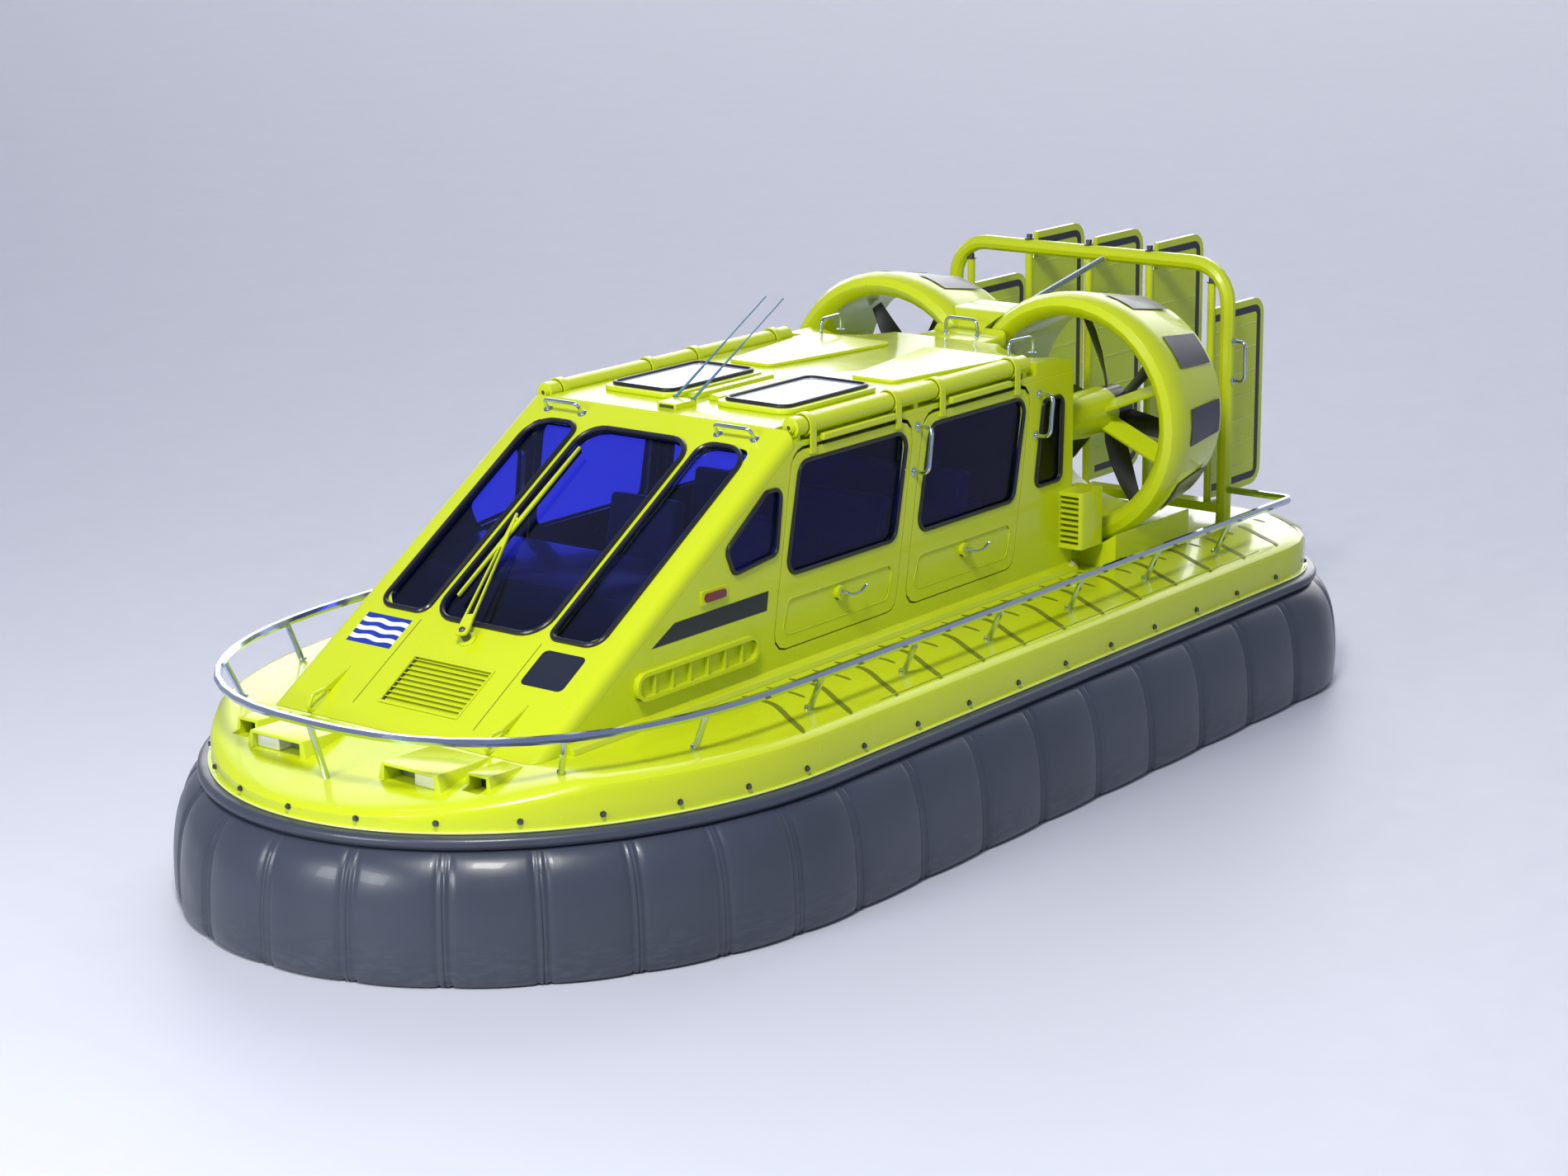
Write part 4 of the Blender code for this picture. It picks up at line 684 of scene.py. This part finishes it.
def make_deck():
    """Lip bead, bolts round the edge, dark strips on the side decks that paint the shade in their grooves,
    and collars on the rail's posts.
    """
    lip = Kit()
    lip.tube(ring_path(LIP_Z + 0.007, 0.0135), 0.0065, 8, closed=True)
    lip.make("deck_lip", PALE)
    bolts = Kit()
    pitch, last_bow_x, bow_bolts = 0.4925, 1.9425, 7
    bow_end = run_at_x(last_bow_x)
    spots = [bow_end * k / bow_bolts for k in range(bow_bolts)]
    spots += [bow_end + pitch * k for k in range(int((RUN[-1] - bow_end) / pitch) + 1)]
    for spot in spots:
        a, b = edge_point(spot), edge_point(spot, 0.05)
        for side in (1, -1) if spot else (1,):
            out = Vector((b.x - a.x, side * (b.y - a.y), 0))
            bolts.hex_bolt(Vector((a.x, side * a.y, BOLT_Z)) + out.normalized() * CLEAR, out, 0.0125)
    bolts.make("skirt_edge_bolts", BOLT, slot=METAL)
    # The grooves are low strips in a dark colour: painted shade, not recesses cut into the deck
    grooves = Kit()
    long_shape = smooth_curve([(0, 1.735), (-0.09, 1.610), (-0.18, 1.480), (-0.290, 1.330), (-0.338, 1.235),
                               (-0.350, 1.150), (-0.350, 1.035)], 4)
    short_shape = smooth_curve([(-0.528, 1.325), (-0.552, 1.255), (-0.562, 1.180), (-0.562, 1.035)], 4)
    pitch, first, most_forward = 0.417, 1.512, 1.95
    aft_x, aft_y = -2.75, 1.21       # behind the plinth the grooves stop clear of the frame's legs
    for k in range(-1, 13):
        x0 = first - pitch * k
        for shape, half in ((long_shape, 0.0175), (short_shape, 0.011)):
            path = [Vector((x0 + p.x, p.y)) for p in shape]
            path = [p for p in path if p.y < edge_half_width(p.x) - 0.02]
            if path and path[-1].x < aft_x and path[-1].y < aft_y:
                path = [p for p in path if p.y > aft_y + 0.01]
            if len(path) >= 6 and path[0].x <= most_forward:
                strip(grooves, path, half, deck_z, 0.0022)
    both(grooves, "deck_groove_shade", GROOVE_SHADE)
    crease = Kit()
    crease_y, crease_z = 1.6780, DECK_Z + 0.0012
    crease.tube(bent([(1.2, crease_y, crease_z), (-2.9, crease_y, crease_z)], 0.01), 0.0045, 8, flat=0.4)
    both(crease, "deck_crease", GEL)
    collars = Kit()
    for x in (-2.690, -1.845, -0.980, -0.126, 0.711, 1.575, 2.520, 3.340):
        run = run_at_x(x, RAIL_HALF, RAIL_RUN)
        foot, head = [edge_point(run, inset, RAIL_HALF, RAIL_RUN) for inset in (-0.280, -0.170)]
        axis = Vector((head.x - foot.x, head.y - foot.y, 0.217))
        base = Vector((foot.x, foot.y, deck_z(foot.x) + 0.001))
        collars.lathe([(-0.004, 0.023), (0.008, 0.023), (0.010, 0.0190)], base + axis.normalized() * 0.008,
                      axis, 16)
    both(collars, "rail_post_collars", STEEL, slot=METAL)


def make_nose_trim():
    """Bead, seams, vent frame, lifting eyes, blank panel and striped panel on the sloping nose."""
    bead = Kit()
    bead.tube(bent([(x, y, DECK_Z + 0.006) for x, y in ((3.035, -0.80), (3.062, -0.60), (3.062, 0.60),
                                                        (3.035, 0.80), (2.800, 0.985))], 0.12), 0.008, 10)
    bead.make("nose_foot_bead", GEL)
    lines = Kit()
    for y in (-0.4365, 0.4365):
        lines.slab(oblong(1.76, y - 0.002, 2.40, y + 0.002), on_slope, CLEAR, 0.0012)
    lines.make("nose_seam_lines", SEAM)
    vent = Kit()
    for s0, s1, y0, y1 in ((2.000, 2.018, -0.29, 0.29), (2.342, 2.360, -0.29, 0.29),
                           (2.018, 2.342, -0.29, -0.277), (2.018, 2.342, 0.277, 0.29)):
        vent.slab(oblong(s0, y0, s1, y1), on_slope, CLEAR, 0.007)
    vent.make("nose_vent_frame", GEL, bevel=0.0015)
    fins = Kit()
    for side in (1, -1):
        y = side * 0.645
        foot, top, low = on_slope(2.42, y), on_slope(2.17, y, CLEAR), on_slope(2.35, y, CLEAR)
        outline = [(top.x, top.z), (foot.x + 0.02, DECK_Z + 0.105), (low.x, low.z)]
        fins.slab(outline, standing, y - 0.006, y + 0.006)
        loop = rounded([(foot.x - 0.060, DECK_Z + 0.115), (foot.x + 0.075, DECK_Z + 0.100),
                        (foot.x + 0.125, DECK_Z + 0.016), (foot.x + 0.010, DECK_Z + 0.016)], 0.022, 5)
        fins.tube([(x, y, z) for x, z in loop], 0.011, 10, closed=True)
    fins.make("lifting_eyes", GEL, bevel=0.001)
    decals = Kit()
    decals.slab(rounded(oblong(1.790, 0.486, 2.045, 0.780), 0.035), on_slope, CLEAR, 0.001)
    decals.make("nose_blank_panel", BLACK)
    flag = Kit()
    s0, s1, y0, y1 = 1.782, 2.003, -0.815, -0.487
    bands, steps = 7, 24
    for band in range(bands):
        rows = []
        for k in range(steps + 1):
            y = y0 + (y1 - y0) * k / steps
            wave = 0.006 * sin(4 * pi * k / steps)
            a = s0 if band == 0 else s0 + (s1 - s0) * band / bands + wave
            b = s1 if band == bands - 1 else s0 + (s1 - s0) * (band + 1) / bands + wave
            rows.append([on_slope(a, y, CLEAR), on_slope(b, y, CLEAR), on_slope(b, y, 0.001),
                         on_slope(a, y, 0.001)])
        flag.rings(rows, mark=0 if band % 2 else 1)
    flag.make("wavy_stripe_panel", [WHITE, BLUE])


def make_wiper():
    """Forked arm on a short post, and the long blade that it holds on the centre screen."""
    pivot_s, pivot_y = 1.831, -0.040
    tip_s, tip_y = 0.936, -0.327
    blade_y, blade_low, blade_high = -0.280, 1.582, 0.372
    kit = Kit()
    pivot = on_slope(pivot_s, pivot_y)
    kit.lathe([(CLEAR, 0.052), (0.006, 0.052), (0.010, 0.046)], pivot, OUT, 28)
    kit.lathe([(0.0101, 0.026), (0.046, 0.026)], pivot, OUT, 20, 1)
    kit.lathe([(0.0755, 0.019), (0.082, 0.018), (0.088, 0.011)], pivot, OUT, 16, 1)

    def on_arm(along, across, height):
        """Point along the arm, from its pivot to its tip, and across it."""
        s, y = pivot_s + (tip_s - pivot_s) * along, pivot_y + (tip_y - pivot_y) * along
        side = Vector((tip_y - pivot_y, pivot_s - tip_s)).normalized() * across
        return on_slope(s + side.x, y + side.y, height - 0.020 * along)

    def prongs(along):
        return 0.036 * (1 - along) + 0.007 * along

    foot = [(-0.038, -0.018), (-0.030, -0.034), (0.0, -0.038), (0.13, -prongs(0.13)),
            (0.13, prongs(0.13)), (0, 0.038), (-0.030, 0.034), (-0.038, 0.018)]
    head = [(0.70, -prongs(0.70)), (0.995, -prongs(1.0)), (0.995, prongs(1.0)), (0.70, prongs(0.70))]
    for outline in (foot, head):
        kit.slab(outline, on_arm, 0.060, 0.075, 0)
    for side in (1, -1):
        kit.slab([(0.131, side * prongs(0.131)), (0.699, side * prongs(0.699)),
                  (0.699, side * (prongs(0.699) - 0.0095)), (0.131, side * (prongs(0.131) - 0.0125))],
                 on_arm, 0.060, 0.075, 0)

    def on_blade(along, across, height):
        return on_slope(blade_low + (blade_high - blade_low) * along, blade_y + across, height)

    kit.slab([(0, -0.006), (0.45, -0.013), (0.60, -0.013), (1, -0.007), (1, 0.007), (0.60, 0.013),
              (0.45, 0.013), (0, 0.006)], on_blade, 0.034, 0.050, 0)
    kit.slab(oblong(0.003, -0.009, 0.997, 0.009), on_blade, 0.024, 0.0337, 2)
    kit.slab(oblong(0.003, -0.003, 0.997, 0.003), on_blade, 0.008, 0.0237, 2)
    grip = on_slope((blade_low + blade_high) / 2, (blade_y + tip_y) / 2, 0.042)
    kit.lathe([(-0.020, 0.011), (0.020, 0.011)], grip, (0, 1, 0), 12)
    kit.make("wiper", [GEL, BOLT, RUBBER], bevel=0.0015)


def make_screen_seals():
    """Rubber round the three windscreens."""
    head, foot, side_foot = 0.160, 1.722, 1.712
    seals = Kit()
    for first, last, low, radii in ((-0.387, 0.387, foot, 0.15),
                                    (0.452, 0.790, side_foot, (0.09, 0.16, 0.09, 0.06)),
                                    (-0.790, -0.452, side_foot, (0.16, 0.09, 0.06, 0.09))):
        outline = rounded([(head, first), (head, last), (low, last), (low, first)], radii, 6)
        seals.tube([on_slope(s, y, 0.004) for s, y in outline], 0.016, 10, closed=True)
    seals.make("windscreen_seals", RUBBER)


# Sides

def side_loop(kit, outline, y, radius):
    """Bead along an outline of (x, z) on the side wall."""
    kit.tube([(x, y, z) for x, z in outline], radius, 10, closed=True)


def door_panel(edges, inset, radii, top, low):
    """Raked outline inside a door's edges."""
    rear, front = edges
    corners = [(lean(rear, low) + inset, low + inset), (lean(front, low) - inset, low + inset),
               (lean(front, top) - inset, top - inset), (lean(rear, top) + inset, top - inset)]
    return rounded(corners, radii, 6)


def make_doors():
    """Window seal, lever and recess bead of each door."""
    for label, edges in (("front", FRONT_DOOR_X), ("rear", REAR_DOOR_X)):
        seal, lever, trim = Kit(), Kit(), Kit()
        body = "%s_door_*" % label
        window = door_panel(edges, 0.062, (0.075, 0.075, 0.085, 0.085), DOOR_TOP_Z, DOOR_WAIST_Z)
        side_loop(seal, window, 0.9545, 0.013)
        both(seal, "%s_door_seal" % label, RUBBER, body, slot=DARK)
        root = Vector((lean(sum(edges) / 2, 1.34), 0.9754, 1.340))
        lever.lathe([(0, 0.021), (0.010, 0.021), (0.014, 0.016), (0.046, 0.014)], root, (0, 1, 0), 20)
        bar = [(0.012, 0.040, 0), (-0.045, 0.058, -0.006), (-0.10, 0.056, -0.004), (-0.150, 0.050, 0.014),
               (-0.162, 0.052, 0.024)]
        lever.tube(smooth_curve([root + Vector(step) for step in bar], 6), 0.0095, 12, flat=0.8)
        both(lever, "%s_door_lever" % label, STEEL, body, slot=METAL)
        side_loop(trim, door_panel(edges, 0.075, 0.05, DOOR_WAIST_Z, DOOR_LOW_Z), 0.9552, 0.0035)
        both(trim, "%s_door_recess_bead" % label, GEL, body)


def make_wall_trim():
    """Window seals, grab handles, marker lamps, blank strips and drip mouldings on the side walls."""
    seals = Kit()
    quarter = [(1.165, 1.680), (1.540, 1.640), (1.605, 1.785), (1.250, 2.040), (1.115, 2.040)]
    rear = [(-1.400, 1.575), (-1.685, 1.575), (-1.705, 2.100), (-1.490, 2.100)]
    for window in (quarter, rear):
        side_loop(seals, rounded(window, 0.05, 5), WALL_Y + 0.004, 0.013)
    both(seals, "side_window_seals", RUBBER, slot=DARK)
    bars = Kit()
    y = WALL_Y + CLEAR
    for top, foot in (((-0.172, y, 2.165), (-0.132, y, 1.905)), ((-1.440, y, 2.150), (-1.405, y, 1.900))):
        grab_handle(bars, top, foot, (0, 1, 0), 0.105, 0.0125)
    both(bars, "side_grab_handles", STEEL, slot=METAL)
    lamp = Kit()
    lamp.slab(rounded(oblong(1.600, 1.523, 1.832, 1.607), 0.012), on_wall, CLEAR, 0.012, 0, 0.003)
    lamp.slab(rounded(oblong(1.625, 1.541, 1.805, 1.589), 0.020), on_wall, 0.0122, 0.026, 1, 0.006)
    both(lamp, "marker_lamp", [GEL, RED])
    film = Kit()
    film.slab([(2.237, 1.381), (2.044, 1.482), (1.236, 1.486), (1.253, 1.377)], on_wall, CLEAR, 0.0009)
    both(film, "side_blank_strip", BLACK)
    drip = Kit()
    for low, high in ((-1.120, -0.480), (0.060, 0.760)):
        drip.slab([(low, 2.245), (high, 2.245), (high - 0.01, 2.285), (low + 0.01, 2.285)], standing,
                  0.9490, 0.9800)
    both(drip, "drip_mouldings", GEL, bevel=0.008)


def make_tubes():
    """Seam lines at both edges of each door strap, and caps on the hinge tubes' front ends."""
    bands = Kit()
    strap_inset, strap_half, sides = 0.170, 0.0275, 40
    section = ((-0.0018, 0.0004), (0.0018, 0.0004), (0.0018, 0.0030), (-0.0018, 0.0030))
    for edges in (FRONT_DOOR_X, REAR_DOOR_X):
        for strap_x in (edges[0] + strap_inset, edges[1] - strap_inset):
            for x in (strap_x - strap_half, strap_x + strap_half):
                bands.rings([[Vector((x + along, TUBE_Y + (TUBE_R + out) * cos(a),
                                      TUBE_Z + (TUBE_R + out) * sin(a))) for along, out in section]
                             for a in around(sides)], closed=True)
    both(bands, "tube_seam_lines", SEAM, slot=DARK)
    caps = Kit()
    end, forward = (0.966, TUBE_Y, TUBE_Z), (1, 0, 0)
    caps.lathe([(0.0003, 0.026), (0.006, 0.026), (0.006, 0.013), (0.001, 0.013)], end, forward, 24)
    caps.lathe([(0.0004, 0.0125), (0.002, 0.0125)], end, forward, 12, 1)
    both(caps, "tube_end_caps", [GEL, SEAM])


# Roof

def make_roof():
    """Aerials, hatch rings and hinge covers, stiffener plates and grab handles on the roof."""
    z = ROOF_Z + CLEAR
    aerial = Kit()
    aerial.slab([(0.760, -0.080), (0.930, -0.070), (0.930, 0.070), (0.760, 0.080)], lying, z, z + 0.034,
                0, 0.006)
    aerial.box((0.9305, -0.052, z + 0.006), (0.934, 0.052, z + 0.024), 2)
    for y in (-0.065, 0.065):
        foot = Vector((0.775, y, z + 0.034))
        along = Vector((-0.075, y, 2.838)) - foot
        aerial.lathe([(0, 0.017), (0.012, 0.015), (0.020, 0.011)], foot, along, 14, 1)
        for start, end, radius in ((0.01, 0.30, 0.0085), (0.30, 0.55, 0.0062), (0.55, 1.0, 0.0040)):
            aerial.tube([foot + along * start, foot + along * end], radius, 10, mark=1)
    aerial.make("aerials", [GEL, WHIP, SEAM])
    inset = 0.046
    for name in ("port", "starboard"):
        low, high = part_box("roof_hatch_" + name)
        ring = Kit()
        loop = rounded(oblong(low.x + inset, low.y + inset, high.x - inset, high.y - inset), 0.06, 6)
        ring.tube([(x, y, high.z + 0.008) for x, y in loop], 0.014, 10, closed=True)
        ring.slab(loop, lying, high.z + CLEAR, high.z + 0.008, 1)
        ring.make("hatch_ring_" + name, [RUBBER, HATCH_GLASS], "hatch_" + name, DARK)
    covers = Kit()
    low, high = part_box("roof_hatch_port")
    inner, outer = 0.035, low.y - 0.036
    for k in range(3):
        start = low.x + 0.075 + k * 0.237
        covers.slab([(inner, z), (outer, z), (outer, z + 0.026), (inner + 0.02, z + 0.036),
                     (inner + 0.004, z + 0.030)],
                    lambda u, v, w: Vector((w, u, v)), start, start + 0.232)
    both(covers, "hatch_hinge_covers", GEL, bevel=0.003)
    plates = Kit()
    outline = rounded([(-1.440, 0.130), (-0.400, 0.300), (-0.400, 0.620), (-1.440, 0.780)], 0.06, 6)
    plates.slab(outline, lying, z, z + 0.018, 0, 0.006)
    both(plates, "roof_stiffener_plates", GEL)
    bars = Kit()
    up, rear_x = (0, 0, 1), -2.000
    for side in (1, -1):
        grab_handle(bars, on_slope(0.075, side * 0.498), on_slope(0.075, side * 0.756), OUT, 0.075)
        grab_handle(bars, (-1.470, side * 0.715, z), (-1.705, side * 0.735, z), up, 0.10)
    grab_handle(bars, (rear_x, -0.120, ROOF_Z - 0.005), (rear_x, 0.120, ROOF_Z - 0.005), up, 0.105)
    bars.make("roof_grab_handles", STEEL, slot=METAL)


# Fore deck lamps

def make_headlights():
    """Two lamp faces in each housing, and a dark box inside the inlet beside it that paints the inlet's
    shade.
    """
    inner, middle, outer = 0.306, 0.480, 0.654
    lamp_back, inlet_back = 3.587 - 0.130 + CLEAR, 3.457 - 0.100 + CLEAR     # front less depth
    for side, name in ((1, "port"), (-1, "starboard")):
        lamp, dark = Kit(), Kit()
        for kit, near, far, rear, front, low, high, mark in (
                (lamp, middle + 0.010, outer - 0.002, lamp_back, 3.560, 0.8955, 0.968, 0),
                (lamp, inner + 0.002, middle + 0.008, lamp_back, 3.475, 0.8955, 0.968, 1),
                (dark, 0.7765, 0.8875, inlet_back, 3.372, 0.8945, 0.972, 0)):
            first, last = sorted((side * near, side * far))
            kit.box((rear, first, low), (front, last, high), mark)
        lamp.make("headlight_" + name, [LAMP, STRUT], slot=METAL, bevel=0.010)
        # The dark box paints the shade inside the inlet
        dark.make("inlet_shadow_" + name, INLET_SHADE, slot=DARK)


# Stern

def make_duct_patches():
    """Black squares round the outside of each duct."""
    profile = ((-2.335, 0.790), (-2.621, 0.7415), (-2.800, 0.713))     # x and radius on the duct
    half, steps, film = radians(8.5), 6, 0.0022
    section = [(x, r) for x, r in profile] + [(x, r + film) for x, r in reversed(profile)]
    for name, side in (("port", 1), ("starboard", -1)):
        kit = Kit()
        for centre in (108, 72, 36, 0, -36):
            turns = [radians(centre) - half + 2 * half * k / steps for k in range(steps + 1)]
            kit.rings([[(x, side * (DUCT_Y + r * cos(turn)), DUCT_Z + r * sin(turn))
                        for x, r in section] for turn in turns])
        kit.make("duct_patches_" + name, BLACK, slot=DARK)


def edge_line(front, low, high, inset, corner):
    """Line inside a rudder's top, rear and bottom edges, open at the front."""
    return rounded(oblong(front, low + inset, RUDDER_REAR_X + inset, high - inset),
                   [0.001, corner, corner, 0.001], 6)


def make_rudder_trim():
    """Black stripes and thin ribs on both faces of each rudder."""
    corner, inset, width, film, rib, bays = 0.12, 0.045, 0.046, 0.001, 0.003, 8
    for k, name in enumerate(("port_outer", "port_inner", "centre", "starboard_inner",
                              "starboard_outer")):
        y = RUDDER_PITCH * (2 - k)
        short = k in (0, 4)
        top = SHORT_RUDDER_TOP_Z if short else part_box("rudder_" + name)[1].z
        front = SHAFT_X - (0.030 if short else 0.085)
        rear = RUDDER_REAR_X + inset + width + 0.012
        outer = edge_line(front, RUDDER_LOW_Z, top, inset, corner - inset)
        inner = edge_line(front, RUDDER_LOW_Z, top, inset + width, max(0.012, corner - inset - width))
        stripe, ribs = Kit(), Kit()
        for face in (1, -1):
            base = y + face * (RUDDER_T / 2 + CLEAR)
            stripe.rings([[(xa, base, za), (xb, base, zb), (xb, base + face * film, zb),
                           (xa, base + face * film, za)] for (xa, za), (xb, zb) in zip(outer, inner)])
            for n in range(1, bays):
                z = RUDDER_LOW_Z + (top - RUDDER_LOW_Z) * n / bays
                ribs.slab(oblong(front, z - rib, rear, z + rib), standing,
                          *sorted((base, base + face * rib)))
        stripe.make("rudder_stripe_" + name, BLACK, "rudder_%d" % (k + 1), slot=DARK)
        ribs.make("rudder_ribs_" + name, PALE, "rudder_%d" % (k + 1))


def make_frame_fittings():
    """Washers and nuts at the heads of the rudder shafts, and the leg handles."""
    nuts = Kit()
    for k in range(5):
        y, up = RUDDER_PITCH * (2 - k), (0, 0, 1)
        if k in (0, 4):
            head = (SHAFT_X, y, SHORT_SHAFT_TOP_Z)
            washer, nut = [(CLEAR, 0.034), (0.008, 0.034)], [(0.0081, 0.022), (0.034, 0.022)]
        else:
            head = (SHAFT_X, y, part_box("rudder_frame")[1].z)
            washer = [(CLEAR, 0.032), (0.006, 0.032), (0.009, 0.026)]
            nut = [(0.0091, 0.021), (0.034, 0.021), (0.038, 0.016)]
        nuts.lathe(washer, head, up, 20)
        nuts.lathe(nut, head, up, 6)
    nuts.make("rudder_shaft_nuts", BOLT, slot=METAL)
    bars = Kit()
    leg_y = 1.071 + 0.0505       # the frame's leg and its radius
    grab_handle(bars, (SHAFT_X, leg_y, 2.184), (SHAFT_X, leg_y, 1.925), (0, 1, 0), 0.085, 0.012)
    both(bars, "frame_grab_handle", STEEL, slot=METAL)


def make_stay_sleeve():
    """Steel sleeve over the stay between the centre cowl and the rudder frame."""
    foot, head = Vector((-2.551, 0.16, 2.489)), Vector((-3.472, 0.16, 2.665))
    sleeve = Kit()
    sleeve.tube([foot.lerp(head, 0.05), foot.lerp(head, 0.93)], 0.0195, 14)
    sleeve.make("stay_sleeve", STRUT, slot=METAL)


# Stage

GLOW = 6.0               # brightness of the window of light behind the craft


def make_stage():
    """Pale floor, and a sky that brightens towards one wide window."""
    reach = 600.0
    data = bpy.data.meshes.new("floor")
    data.from_pydata([(-reach, -reach, 0), (reach, -reach, 0), (reach, reach, 0), (-reach, reach, 0)], [],
                     [(0, 1, 2, 3)])
    data.materials.append(finish("floor_paint", (0.60, 0.61, 0.68), 0.55, 0.01, 0.03, (40, 0.01)))
    floor = placed("floor", data)
    world = bpy.data.worlds.new("studio")
    bpy.context.scene.world = world
    world.use_nodes = True
    tree = world.node_tree
    direction = tree.nodes.new("ShaderNodeTexCoord").outputs["Generated"]
    height = ranged(tree, split(tree, direction)["Z"], 0.0, 1.0, 0.0, 0.9)
    sky = mixed(tree, (0.80, 0.84, 0.95), (0.30, 0.36, 0.62), height)
    toward = tree.nodes.new("ShaderNodeVectorMath")
    toward.operation = "DOT_PRODUCT"
    toward.inputs[1].default_value = Vector((-0.83, -0.45, 0.33)).normalized()
    tree.links.new(direction, toward.inputs[0])
    window = ranged(tree, toward.outputs["Value"], 0.0, 1.0, 0.80, 0.98)
    back = tree.nodes["Background"].inputs
    tree.links.new(mixed(tree, sky, (GLOW, GLOW, GLOW * 1.04), window), back["Color"])
    back["Strength"].default_value = 0.52


def area_light(name, place, target, size, power, colour):
    light = bpy.data.lights.new(name, "AREA")
    light.shape = "RECTANGLE"
    light.size, light.size_y = size
    light.energy = power
    light.color = colour
    item = placed(name, light)
    item.location = place
    item.rotation_euler = (Vector(target) - Vector(place)).to_track_quat("-Z", "Y").to_euler()


def make_lights():
    area_light("key", (9.0, 5.0, 13.0), (0, 0, 1), (3.0, 3.0), 1650, (1.0, 0.99, 0.95))
    area_light("bow_fill", (13.0, -1.0, 5.5), (2, 0, 0.8), (4.0, 3.0), 520, (0.94, 0.97, 1.0))


def make_camera():
    """Camera at the photograph's viewing angle, solved from the craft's straight edges."""
    camera = placed("camera", bpy.data.cameras.new("camera"))
    camera.data.lens, camera.data.sensor_width = 73.85, 36.0
    camera.data.clip_end = 2000.0
    azimuth, elevation, roll = (radians(a) for a in (37.833, 14.534, -0.6524))
    back = Vector((cos(elevation) * cos(azimuth), cos(elevation) * sin(azimuth),
                   sin(elevation)))
    right = Vector((0, 0, 1)).cross(back).normalized()
    up = back.cross(right)
    right, up = (right * cos(roll) + up * sin(roll), up * cos(roll) - right * sin(roll))
    pose = Matrix((right, up, back)).transposed().to_4x4()
    pose.translation = (14.6345, 11.4680, 5.9160)
    camera.matrix_world = pose
    bpy.context.scene.camera = camera


for build in (make_camera, make_lights, make_stage, dress_nodes, make_skirt, make_deck, make_nose_trim,
              make_wiper, make_screen_seals, make_doors, make_wall_trim, make_tubes, make_roof,
              make_headlights, make_duct_patches, make_rudder_trim, make_frame_fittings,
              make_stay_sleeve):
    build()
bpy.context.scene.view_settings.view_transform = "Standard"
